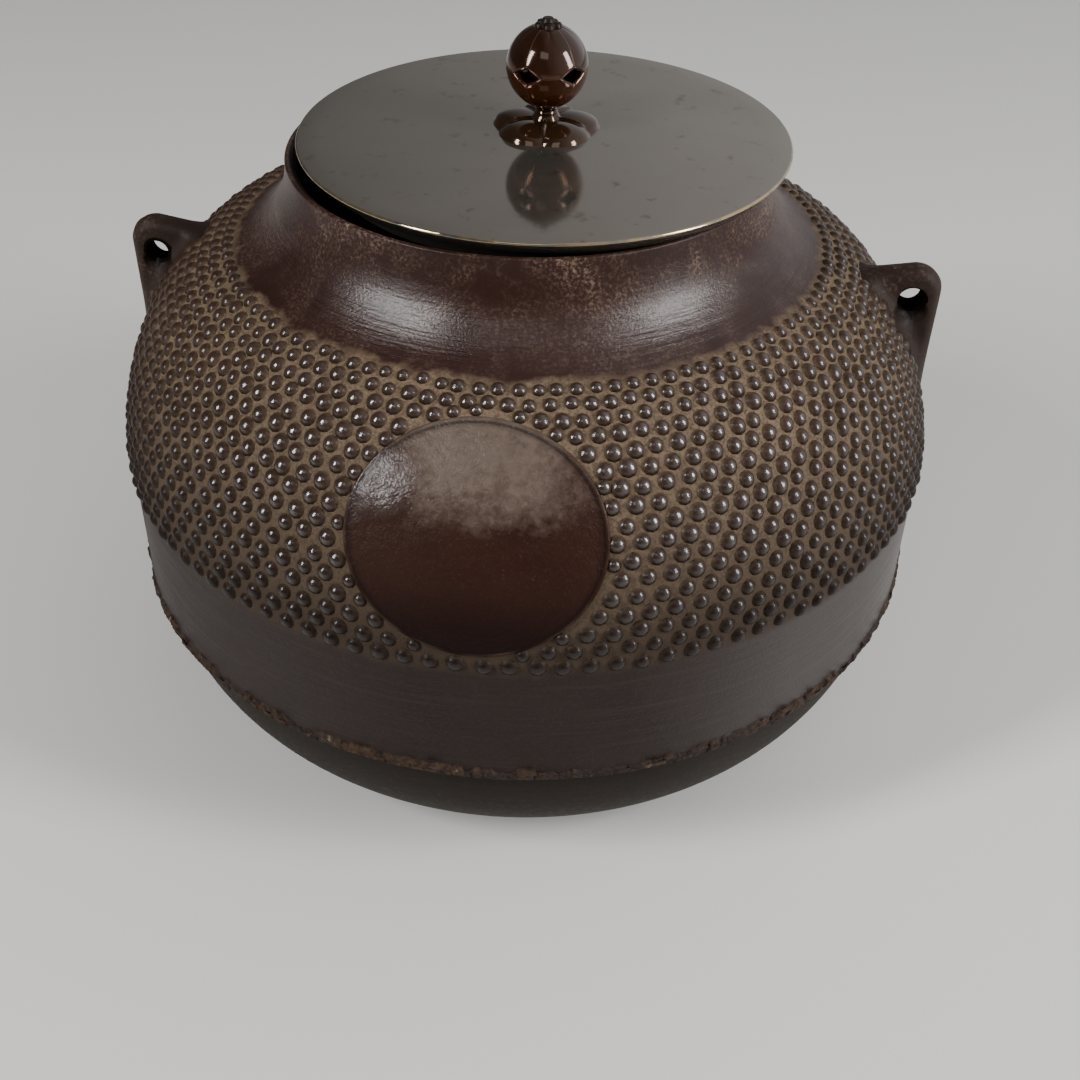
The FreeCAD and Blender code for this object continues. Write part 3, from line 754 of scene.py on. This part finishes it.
studs = {
    "perRow": 114,
    "firstRow": 3.5,  # below the neck root, along the wall
    "rowStep": 4.35,  # between rows at the neck
    "rowGrowth": 0.49,  # added to the step by the belly
    "stagger": 0.44,  # share of a step that each row lags the row above
    "radius": 2.34,
    "topShare": 0.80,  # stud size at the neck
    "sizeRun": (-0.1, 0.6),  # share of the shoulder over which it grows to 1
    "sizes": (0.90, 1.08),  # hand-made unevenness of size, height and place
    "heights": (0.88, 1.08),
    "wander": 0.20,
    "seed": 7,
    "height": 1.50,
    "sameHeight": 0.35,  # share of the height that doesn't follow the size
    "sink": 0.30,
    "footRun": 0.14,  # how far the foot runs out into the wall
    "under": 0.85,  # darkness of the painted shade on the lower side
    "underRun": (0.25, 0.85),  # down the stud
    "underTop": (0.45, 0.80),  # and up to its top
    "panelGap": 1.3,  # studs nearer to the panel than this are set further out
    "panelSize": 0.88,  # and made smaller
    "panelCut": -0.5,  # and left out from here
    "lugGap": 2.6,  # no studs this near to a lug's sides
    "lugReach": 98.0,  # from this radius on
    "lugDrop": 1.0,  # and down to this far below it
    "segments": 10,
    "rings": 8,
}


def studTemplate():
    bm = bmesh.new()
    bmesh.ops.create_uvsphere(bm, u_segments=studs["segments"], v_segments=studs["rings"], radius=1.0)
    bmesh.ops.bisect_plane(bm, geom=bm.verts[:] + bm.edges[:] + bm.faces[:], plane_co=(0, 0, 0),
                           plane_no=(0, 0, 1), clear_inner=True, dist=1e-4)
    crest, under = vertexValues(bm, "crest", "under")
    for vert in bm.verts:
        vert[crest] = vert.co.z
        # painted shade on the stud's lower side, fading out up to its top
        vert[under] = studs["under"] * smoothStep(*studs["underRun"], -vert.co.y)
        vert[under] *= 1 - smoothStep(*studs["underTop"], vert.co.z)
        wider = 1 + studs["footRun"] * (1 - vert.co.z) ** 3
        vert.co.x *= wider
        vert.co.y *= wider
    return meshFrom(bm, "studTemplate")


lugLow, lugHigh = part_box("right_lug")
lugHalf = (lugHigh[1] - lugLow[1]) / mm / 2


def nearLug(point):
    beside = abs(point.y) < lugHalf + studs["lugGap"] and abs(point.x) > studs["lugReach"]
    return beside and point.z > lugLow[2] / mm - studs["lugDrop"]


def makeStuds():
    chance = random.Random(studs["seed"])
    template = studTemplate()
    length = studs["firstRow"]
    rows = []
    while True:
        point = onShoulder(length)[0]
        if point.y < wall["studFoot"]:
            break
        rows.append((length, point))
        length += studs["rowStep"] + studs["rowGrowth"] * length / shoulderLengths[-1]
    halves = [bmesh.new(), bmesh.new()]
    count = 0
    for row, (length, point) in enumerate(rows):
        ring = bmesh.new()
        downShoulder = (point.x - neckRoot[0]) / (wall["bellyRadius"] - neckRoot[0])
        scale = studs["topShare"] + (1 - studs["topShare"]) * smoothStep(*studs["sizeRun"], downShoulder)
        for column in range(studs["perRow"]):
            angle = (column - studs["stagger"] * row) / studs["perRow"] * fullTurn
            angle += chance.gauss(0, studs["wander"]) / point.x
            slide = chance.gauss(0, studs["wander"])
            size = scale * chance.uniform(*studs["sizes"])
            tall = chance.uniform(*studs["heights"])
            spot, lean = onShoulder(length + slide)
            centre = turned(spot.x, angle, spot.y)
            beside = outsidePanel(centre)
            if beside < studs["panelCut"] or nearLug(centre):
                continue
            if beside < studs["panelGap"]:
                centre = besidePanel(centre, studs["panelGap"])
                angle = atan2(centre.y, centre.x)
                size *= studs["panelSize"]
            out = turned(lean.x, angle, lean.y)
            turn = out.to_track_quat("Z", "Y").to_matrix().to_4x4()
            wide = studs["radius"] * size * mm
            high = studs["height"] * (studs["sameHeight"] + (1 - studs["sameHeight"]) * size) * tall
            stretch = Matrix.Diagonal((wide, wide, (high + studs["sink"]) * mm, 1))
            place = Matrix.Translation((centre - out * studs["sink"]) * mm)
            stud = template.copy()
            stud.transform(place @ turn @ stretch)
            ring.from_mesh(stud)
            bpy.data.meshes.remove(stud)
            count += 1
        ringMesh = meshFrom(ring, "studRing")
        halves[row % 2].from_mesh(ringMesh)
        bpy.data.meshes.remove(ringMesh)
    bpy.data.meshes.remove(template)
    for name, bm in zip(("studRowsEven", "studRowsOdd"), halves):
        finishPiece(bm, name, "kettle", ["stud"], sharpAngle=0)
    print("studs", count, "in", len(rows), "rows")


makeStuds()


# lugs: ears that grow out of the shoulder in a hollow curve, each with a hole for a ring

ear = {
    "holeReach": wall["bellyRadius"] - 10.4,
    "holeHeight": 143.2,
    "holeRadius": 4.0,
    "tip": lugHigh[0] / mm,
    "crown": lugHigh[2] / mm,
    "corner": 8.0,
    "topSlope": 10.0,
    "half": lugHalf,
    "edge": 3.4,  # rounding of the outer edge
    "hollow": 5.5,  # hollow curve into the shoulder
    "root": 2.4,  # depth let into the wall
    "skip": (0.1, 0.02),  # no thickness this near to the outer edge and to the root's end
    "furthest": 60.0,  # the outline is nearer to the hole than this
    "scoop": 2.4,  # wear at the front of the hole's lower side
    "scoopRun": 2.8,
    "scoopReach": 1.4,  # in radii of the hole
    "scoopShadeRun": 0.6,
    "downwards": (0.1, 0.9),  # from level to straight down
    "holeEdge": 0.6,  # bevel
    "paintedBoreShade": 0.3,  # painted shade of the bore reaches this far past it
    "points": 96,
    "cuts": 14,
}


def aboveWall(reach, height):
    # distance of a point in the lug's plane from the shoulder, negative inside it
    spot = Vector((reach, height))
    nearest = farOff
    for before, after in shoulderPairs:
        start = Vector(before)
        along = Vector(after) - start
        share = min(1.0, max(0.0, (spot - start).dot(along) / along.length_squared))
        nearest = min(nearest, (spot - start - along * share).length)
    return copysign(nearest, reach - wallRadius(height))


def insideEarEdge(reach, height):
    # distance from the ear's top, corner and outer edge, negative outside
    centreReach = ear["tip"] - ear["corner"]
    centreHeight = ear["crown"] - ear["corner"]
    slope = radians(ear["topSlope"])
    outer = ear["tip"] - reach
    fallen = (centreReach - reach) * sin(slope) + (height - centreHeight) * cos(slope)
    upper = ear["corner"] - fallen
    if reach > centreReach and height > centreHeight:
        return ear["corner"] - hypot(reach - centreReach, height - centreHeight)
    return min(outer, upper)


def earSpot(reach, angle):
    # a point in the lug's plane, from the middle of the hole
    return ear["holeReach"] + reach * cos(angle), ear["holeHeight"] + reach * sin(angle)


def earOutline(angle):
    # furthest point of the ear in a direction from the hole
    def inside(reach):
        spot = earSpot(reach, angle)
        return insideEarEdge(*spot) > 0 and aboveWall(*spot) > -ear["root"]

    return earSpot(furthest(inside, ear["holeRadius"], ear["furthest"]), angle)


def earScoopAndShade(x, z):
    # 1 at the hole's edge, fading out further down than up; painted shade round the hole, and the depth of
    # the scoop
    across, up = x - ear["holeReach"], z - ear["holeHeight"]
    away = hypot(across, up)
    run = ear["scoopShadeRun"] + ear["scoopRun"] * smoothStep(*ear["downwards"], -up / away)
    return 1 - smoothStep(0, run, away - ear["holeRadius"])


def earThickness(x, z):
    # half thickness: a hollow curve at the wall and a rounded outer edge
    above = aboveWall(x, z)
    inside = insideEarEdge(x, z)
    if inside < ear["skip"][0] or above < ear["skip"][1] - ear["root"]:
        return 0.0
    above = max(0.0, above)
    thick = ear["half"]
    if above < ear["hollow"]:
        thick += ear["hollow"] - sqrt(ear["hollow"] ** 2 - (ear["hollow"] - above) ** 2)
    return thick * sqrt(1 - (1 - min(1.0, inside / ear["edge"])) ** 2)


def makeEar(name, node, side):
    bm = bmesh.new()
    angles = [fullTurn * step / ear["points"] for step in range(ear["points"])]
    hole = [earSpot(ear["holeRadius"], angle) for angle in angles]
    outline = [earOutline(angle) for angle in angles]
    loops = [[bm.verts.new((x, 0, z)) for x, z in loop] for loop in (hole, outline)]
    webBetween(bm, *loops, ear["cuts"])
    bmesh.ops.duplicate(bm, geom=bm.verts[:] + bm.edges[:] + bm.faces[:])
    bm.verts.ensure_lookup_table()
    scoopAndShade, = vertexValues(bm, "scoopAndShade")
    half = len(bm.verts) // 2
    for index, vert in enumerate(bm.verts):
        x, z = vert.co.x, vert.co.z
        thick = earThickness(x, z)
        face = 1 if index < half else -1
        # painted shade round the hole; the same mask sets how deep the scoop goes
        vert[scoopAndShade] = earScoopAndShade(x, z)
        if face * side < 0:  # the face that looks forward
            down = (ear["holeHeight"] - z) / ear["holeRadius"] / ear["scoopReach"]
            thick -= ear["scoop"] * vert[scoopAndShade] * smoothStep(*ear["downwards"], down)
        vert.co.x = sqrt(x * x - thick * thick)
        vert.co.y = thick * face
    bmesh.ops.remove_doubles(bm, verts=bm.verts, dist=1e-5)
    bore = [edge for edge in bm.edges if edge.is_boundary]
    bmesh.ops.bridge_loops(bm, edges=bore)
    bmesh.ops.bevel(bm, geom=bore, offset=ear["holeEdge"], affect="EDGES", segments=3, profile=0.5,
                    material=-1)
    faceOutwards(bm)
    # faces in and near the bore take the painted bore shade
    for face in bm.faces:
        middle = face.calc_center_median()
        away = hypot(middle.x - ear["holeReach"], middle.z - ear["holeHeight"])
        if away < ear["holeRadius"] + ear["paintedBoreShade"]:
            face.material_index = 1
    turn = Matrix.Rotation(0 if side > 0 else pi, 4, "Z")
    finishPiece(bm, name, "kettle", ["ear", "bore"], [node], sharpAngle=50,
                shift=turn @ Matrix.Scale(mm, 4))


makeEar("rightEar", "right_lug", 1)
makeEar("leftEar", "left_lug", -1)


# broken lip round the foot of the body

lip = {
    "line": [  # out from the skirt, up from its foot and steps to there
        (-0.6, 5.4, 0), (0.05, 4.0, 2), (1.1, 2.5, 3), (1.1, 0.6, 4), (-0.2, -0.4, 3), (-2.6, 0.2, 2),
    ],
    "proudRun": (-0.1, 0.5),  # out from the skirt
    "pattern": 30.0,  # noise steps from the axis to the lip, for the four scales below
    "slow": 0.16,
    "broken": 1.1,
    "chip": 1.7,
    "grit": 6.0,
    "inset": 0.25,  # mean shift inwards
    "shifts": (-1.0, 0.7),
    "crestRun": (-0.75, 0.05),
    "steps": 1200,
}


def makeLip():
    points = [(skirtRadius + out, wall["lipHeight"] + up) for out, up, steps in lip["line"]]
    line = points[:1]
    for point, (out, up, steps) in zip(points[1:], lip["line"][1:]):
        lineTo(line, point, steps)
    bm = spinLine(line, lip["steps"])
    crest, = vertexValues(bm, "crest")
    for vert in bm.verts:
        spot = vert.co / mm
        angle = atan2(spot.y, spot.x)
        radius = hypot(spot.x, spot.y)
        around = turned(lip["pattern"], angle)
        proud = smoothStep(skirtRadius + lip["proudRun"][0], skirtRadius + lip["proudRun"][1], radius)
        slow = noise.noise(around * lip["slow"] + Vector((0, 0, 4)))
        broken = noise.noise(around * lip["broken"] + Vector((0, 0, spot.z * 0.3)))
        chip = noise.cell(around * lip["chip"] + Vector((0, 0, spot.z * 0.35))) - 0.5
        grit = noise.noise(around * lip["grit"] + Vector((0, 0, spot.z * 1.3)))
        shift = proud * (0.5 * slow + 0.65 * broken + 0.35 * chip + 0.40 * grit - lip["inset"])
        drop = (0.8 * slow + 0.9 * broken + 0.5 * chip) * proud + 0.35 * grit
        shift = max(lip["shifts"][0], min(lip["shifts"][1], shift))
        vert[crest] = proud * smoothStep(*lip["crestRun"], shift + 0.35 * slow)
        vert.co += turned(shift, angle, drop) * mm
    finishPiece(bm, "brokenLip", "kettle", ["lip"], sharpAngle=28)


makeLip()


# bottom bowl below the lip

bottomBowl = {
    "bend": 55.3,
    "thickness": 2.0,
    "steps": 192,
}


def makeBottom():
    radius = bottomHigh[0] / mm
    top = bottomHigh[2] / mm
    flat = radius - bottomBowl["bend"]
    thick = bottomBowl["thickness"]
    line = [(0, 0)]
    lineTo(line, (flat, 0), steps=6)
    arcTo(line, (radius, bottomBowl["bend"]), bottomBowl["bend"], side=1, steps=36)
    lineTo(line, (radius, top), steps=2)
    lineTo(line, (radius - thick, top))
    lineTo(line, (radius - thick, bottomBowl["bend"]), steps=2)
    arcTo(line, (flat, thick), bottomBowl["bend"] - thick, side=-1, steps=18)
    lineTo(line, (0, thick), steps=3)
    bm = spinLine(line, bottomBowl["steps"])
    for face in bm.faces:
        middle = face.calc_center_median() / mm
        outward = Vector((middle.x, middle.y, middle.z - bottomBowl["bend"]))
        if face.normal.dot(outward) < 0:
            face.material_index = 1
    finishPiece(bm, "bottomBowl", "kettle", ["bottom", "inner"], ["kettle_bottom"])


makeBottom()


# lid: flat plate whose side slopes in, with a flange below

lidLow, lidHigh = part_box("lid_plate")
lid = {
    "radius": (lidHigh[0] - lidLow[0]) / 2 / mm,
    "top": lidHigh[2] / mm,
    "thickness": 3.6,
    "edge": 0.6,  # rounding of the worn top edge
    "undercut": 2.4,
    "flangeRadius": 60.8,
    "flangeWall": 2.0,
    "flangeDepth": 6.0,
    "steps": 256,
}
lidCentre = middleOf(lidLow, lidHigh)
lidShift = Matrix.Translation(lidCentre + (0,))
finishes["lid"] = lidBronze(lidCentre, lid["radius"])


def makeLid():
    top = lid["top"]
    under = top - lid["thickness"]
    edge = lid["edge"]
    line = [(0, top)]
    lineTo(line, (lid["radius"] - edge, top), steps=12)
    arcTo(line, (lid["radius"], top - edge), edge, side=-1, steps=8)
    lineTo(line, (lid["radius"] - lid["undercut"], under), steps=4)
    flangeInside = lid["flangeRadius"] - lid["flangeWall"]
    flangeFoot = under - lid["flangeDepth"]
    line += [(lid["flangeRadius"], under), (lid["flangeRadius"], flangeFoot)]
    line += [(flangeInside, flangeFoot), (flangeInside, under)]
    lineTo(line, (0, under), steps=4)
    bm = spinLine(line, lid["steps"])
    finishPiece(bm, "lidDisc", "lid", ["lid"], ["lid_plate"], sharpAngle=35, shift=lidShift)


makeLid()


# blossoms: domed petals round a raised middle, for the knob's seat and for the rosette on top

ballLow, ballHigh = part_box("knob_ball_upper")
knobCentre = middleOf(ballLow, ballHigh)
knobShift = Matrix.Translation(knobCentre + (0,))
blossom = {
    "foot": 0.999,  # share of the outline from which the edge is down at its foot
    "brim": 0.97,  # and from which it starts to turn down
    "brimDrop": 0.9,
}


def blossomHeight(flower, radius, offset):
    away = hypot(radius * cos(offset) - flower["domeReach"], radius * sin(offset))
    bulge = max(0.0, 1 - (away / flower["domeRadius"]) ** 2) ** flower["bulge"]
    height = flower["edge"] + (flower["crown"] - flower["edge"]) * bulge
    if "ribHeight" in flower:
        valley = radius * sin(pi / flower["petals"] - abs(offset))
        rib = flower["ribHeight"] * ridge(valley, 0, flower["ribWidth"])
        height += rib * (1 - smoothStep(*flower["ribEnd"], radius))
    hub = 1 - smoothStep(flower["hub"], flower["hub"] + flower["hubRun"], radius)
    return max(height, hub * flower["hubHeight"])


def makeBlossom(name, flower, base, node, skin):
    line = [(0.0, 0.0)]
    lineTo(line, (1.0, 0.0), flower["rings"])
    bm = spinLine(line, flower["steps"])
    share = fullTurn / flower["petals"]
    for vert in bm.verts:
        out = hypot(vert.co.x, vert.co.y) / mm
        angle = atan2(vert.co.y, vert.co.x)
        offset = (angle - radians(flower["turn"]) + share / 2) % share - share / 2
        sideways = flower["reach"] * sin(offset)
        outline = flower["reach"] * cos(offset) + sqrt(flower["petalRadius"] ** 2 - sideways ** 2)
        radius = outline * out
        height = blossomHeight(flower, radius, offset)
        if out > blossom["foot"]:
            height = flower["foot"]
        elif out > blossom["brim"]:
            height = flower["edge"] * blossom["brimDrop"]
        vert.co = turned(radius, angle, base + height) * mm
    faceOutwards(bm)
    finishPiece(bm, name, "lid", [skin], [node], sharpAngle=60, shift=knobShift)


seatLow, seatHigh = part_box("knob_seat")
seat = {
    "petals": 5,
    "turn": 19.4,  # first petal from X, degrees
    "reach": 6.4,
    "petalRadius": 9.3,
    "domeReach": 7.6,  # middle of the cushion on each petal
    "domeRadius": 8.3,
    "crown": 3.5,
    "bulge": 0.75,
    "edge": 0.55,
    "foot": -0.05,
    "hub": 2.6,
    "hubRun": 3.6,
    "hubHeight": (seatHigh[2] - seatLow[2]) / mm,
    "ribHeight": 0.9,  # line between two petals
    "ribWidth": 0.45,
    "ribEnd": (10.4, 12.4),
    "rings": 34,
    "steps": 240,
}
makeBlossom("blossomSeat", seat, seatLow[2] / mm, "knob_seat", "knob")


# stem between the seat and the ball

collarLow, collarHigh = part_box("knob_collar")
collar = {
    "bore": 0.5,
    "end": 3.3,
    "waist": 2.5,
    "lowerArc": 2.0,
    "lowerEnd": (0.5, 0.3),  # out from the waist and below it
    "upperArc": 2.2,
    "upperEnd": (0.3, 0.2),  # in from the end and up into the ball
    "steps": 64,
}


def makeCollar():
    low = collarLow[2] / mm
    high = collarHigh[2] / mm + collar["upperEnd"][1]
    middle = (low + collarHigh[2] / mm) / 2
    line = [(collar["bore"], low), (collar["end"], low)]
    out, down = collar["lowerEnd"]
    arcTo(line, (collar["waist"] + out, middle - down), collar["lowerArc"], side=-1, steps=8)
    lineTo(line, (collar["waist"], middle), steps=2)
    arcTo(line, (collar["end"] - collar["upperEnd"][0], high), collar["upperArc"], side=-1, steps=8)
    lineTo(line, (collar["bore"], high))
    bm = spinLine(line, collar["steps"])
    finishPiece(bm, "stemCollar", "lid", ["knob"], ["knob_collar"], shift=knobShift)


makeCollar()


# ball: five star holes on the equator; the lines over and between them are in its finish

ball = {
    "radius": 11.5,
    "equator": ballLow[2] / mm,
    "poleHeight": (ballHigh[2] - ballLow[2]) / mm,
    "lobes": 5,
    "turn": -25.3,  # first star from the front, degrees
    "starWidth": 4.6,
    "starHeight": 2.35,
    "starSides": 2.1,  # power that hollows the star's sides
    "wallThickness": 1.5,
    "lip": 0.22,  # raised edge of each star
    "lipWidth": 0.10,  # as a share of the star's size
    "borderPower": 1.7,  # draws the points of a sector's border to the middle of each side
    "points": 64,
    "cuts": 11,
}
sectorAngle = fullTurn / ball["lobes"]
firstStar = radians(ball["turn"] - 90)  # from X
starWidth = ball["starWidth"] / ball["radius"]
starTall = ball["starHeight"] / ball["radius"]
finishes["ball"] = ballBronze(knobCentre, ball["equator"], firstStar, ball["lobes"])


def signedPower(value, power):
    return copysign(abs(value) ** power, value)


def starSector(bm):
    # flat map of one sector, longitude and latitude in radians, with the star cut out
    edge = sectorAngle / 2
    top = asin(ball["poleHeight"] / ball["radius"])
    quarter = ball["points"] // 4
    star = []
    border = []
    for index in range(ball["points"]):
        angle = fullTurn * index / ball["points"]
        star.append(bm.verts.new((starWidth * signedPower(cos(angle), ball["starSides"]),
                                  starTall * signedPower(sin(angle), ball["starSides"]), 0)))
        side, step = divmod(index + quarter // 2, quarter)
        along = signedPower((step - quarter / 2) / (quarter / 2), ball["borderPower"])
        corners = ((edge, along * top), (-along * edge, top), (-edge, -along * top), (along * edge, -top))
        border.append(bm.verts.new(corners[side % 4] + (0,)))
    webBetween(bm, star, border, ball["cuts"])


def makeBall():
    bm = bmesh.new()
    starSector(bm)
    sector = bm.verts[:] + bm.edges[:] + bm.faces[:]
    for lobe in range(1, ball["lobes"]):
        copied = bmesh.ops.duplicate(bm, geom=sector)["geom"]
        shifted = [item for item in copied if isinstance(item, bmesh.types.BMVert)]
        bmesh.ops.translate(bm, vec=(sectorAngle * lobe, 0, 0), verts=shifted)
    power = 1 / ball["starSides"]
    for vert in bm.verts:
        longitude, latitude = vert.co.x, vert.co.y
        offset = (longitude + sectorAngle / 2) % sectorAngle - sectorAngle / 2
        star = abs(offset / starWidth) ** (2 * power) + abs(latitude / starTall) ** (2 * power)
        radius = ball["radius"] + ball["lip"] * ridge(star ** (0.5 / power), 1, ball["lipWidth"])
        height = radius * sin(latitude) + ball["equator"]
        vert.co = turned(radius * cos(latitude), longitude + firstStar, height) * mm
    bmesh.ops.remove_doubles(bm, verts=bm.verts, dist=2e-6)
    faceOutwards(bm)
    bmesh.ops.solidify(bm, geom=bm.faces[:], thickness=ball["wallThickness"] * mm)
    finishPiece(bm, "piercedBall", "lid", ["ball"], ["knob_ball_upper", "knob_ball_lower"],
                sharpAngle=0, subdivide=1, shift=knobShift)


makeBall()


# rosette on top of the ball

finialLow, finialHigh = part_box("knob_finial")
rosette = {
    "petals": 5,
    "turn": ball["turn"] - 90 + 180 / ball["lobes"],
    "reach": 2.25,
    "petalRadius": 1.65,
    "domeReach": 2.25,
    "domeRadius": 1.65,
    "crown": 1.1,
    "bulge": 0.6,
    "edge": 0.5,
    "foot": -0.6,
    "hub": 1.2,
    "hubRun": 1.3,
    "hubHeight": (finialHigh[2] - finialLow[2]) / mm,
    "rings": 24,
    "steps": 120,
}
makeBlossom("rosetteFinial", rosette, finialLow[2] / mm, "knob_finial", "rosette")


# carried-over pieces keep their shape and take a finish

carried = {
    "seam_putty": "lacquer",
    "lacquer_dabs": "lacquer",
    "knob_pin": "knob",
    "pin_washer": "lid",
}
carried.update({"sounding_plate_%d" % number: "bottom" for number in range(1, 6)})
for node, skin in carried.items():
    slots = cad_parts[node].data.materials
    slots.clear()
    slots.append(finishes[skin])
print("carried pieces finished")


# studio: pale floor, soft light all round and three lights

studio = {
    "floorColour": (0.60, 0.59, 0.57),
    "floorShade": 0.97,  # of the faint clouds in it
    "floorSize": 3.0,
    "roomColour": (0.98, 0.985, 1.0),
    "roomLight": 0.19,
    "roomGrowth": (1.00, 0.25, 0.15),  # more light from the right, from behind and from above
    "roomLeast": 0.08,
    "roomMost": 1.10,
    "lightTarget": (0, 0, 0.11),
}
lights = {
    "frontSoft": {"place": (-0.05, -0.85, 1.05), "size": (0.46, 0.35), "power": 1.0},
    "rightWindow": {"place": (1.25, -0.40, 0.75), "size": (0.30, 0.92), "power": 25},
    "leftWindow": {"place": (-1.00, -0.75, 0.92), "size": (0.24, 0.76), "power": 25},
}


def makeFloor():
    bm = bmesh.new()
    bmesh.ops.create_grid(bm, x_segments=1, y_segments=1, size=studio["floorSize"])
    mesh = meshFrom(bm, "paleFloor")
    finish = Finish("paleFloor", roughness=0.45)
    clouds = finish.noise(3.0, 2, 0.5)
    shade = tuple(channel * studio["floorShade"] for channel in studio["floorColour"])
    mesh.materials.append(finish.paint(clouds.blend(shade, studio["floorColour"])))
    floor = addObject("paleFloor", mesh)


def makeLight(name, place, size, power):
    data = bpy.data.lights.new(name, "AREA")
    data.shape = "RECTANGLE"
    data.size, data.size_y = size
    data.energy = power
    light = addObject(name, data)
    light.location = place
    way = Vector(studio["lightTarget"]) - Vector(place)
    light.rotation_euler = way.to_track_quat("-Z", "Y").to_euler()


def makeRoom():
    world = bpy.data.worlds.new("softRoom")
    bpy.context.scene.world = world
    room = Nodes(world)
    inputs = {0: room.node("TexCoord", {}, "Generated"), 1: Vector(studio["roomGrowth"])}
    light = room.node("VectorMath", inputs, "Value", operation="DOT_PRODUCT") + studio["roomLight"]
    inputs = {"Value": light, "Min": studio["roomLeast"], "Max": studio["roomMost"]}
    strength = room.node("Clamp", inputs, "Result")
    room.feed(room.tree.nodes["Background"], {"Strength": strength, "Color": studio["roomColour"]})


makeFloor()
makeRoom()
for name, light in lights.items():
    makeLight(name, **light)
print("studio made")


# camera: the photograph's viewpoint

view = {
    "azimuth": 5.4,  # degrees to the right of the front
    "distance": 370.0,  # from the kettle's axis, level
    "height": 334.0,
    "sideways": 5.27,
    "pitch": 38.62,
    "roll": 1.26,
    "lens": 45.0,
    "sensor": 36.0,
}


def makeCamera():
    data = bpy.data.cameras.new("photoCamera")
    data.sensor_width = view["sensor"]
    data.lens = view["lens"]
    camera = addObject("photoCamera", data)
    angle = radians(view["azimuth"])
    back = Vector((sin(angle), -cos(angle), 0)) * view["distance"]
    place = (back + turned(view["sideways"], angle, view["height"])) * mm
    turn = (Matrix.Rotation(angle, 4, "Z") @ Matrix.Rotation(radians(90 - view["pitch"]), 4, "X")
            @ Matrix.Rotation(radians(view["roll"]), 4, "Z"))
    camera.matrix_world = Matrix.Translation(place) @ turn
    bpy.context.scene.camera = camera


makeCamera()
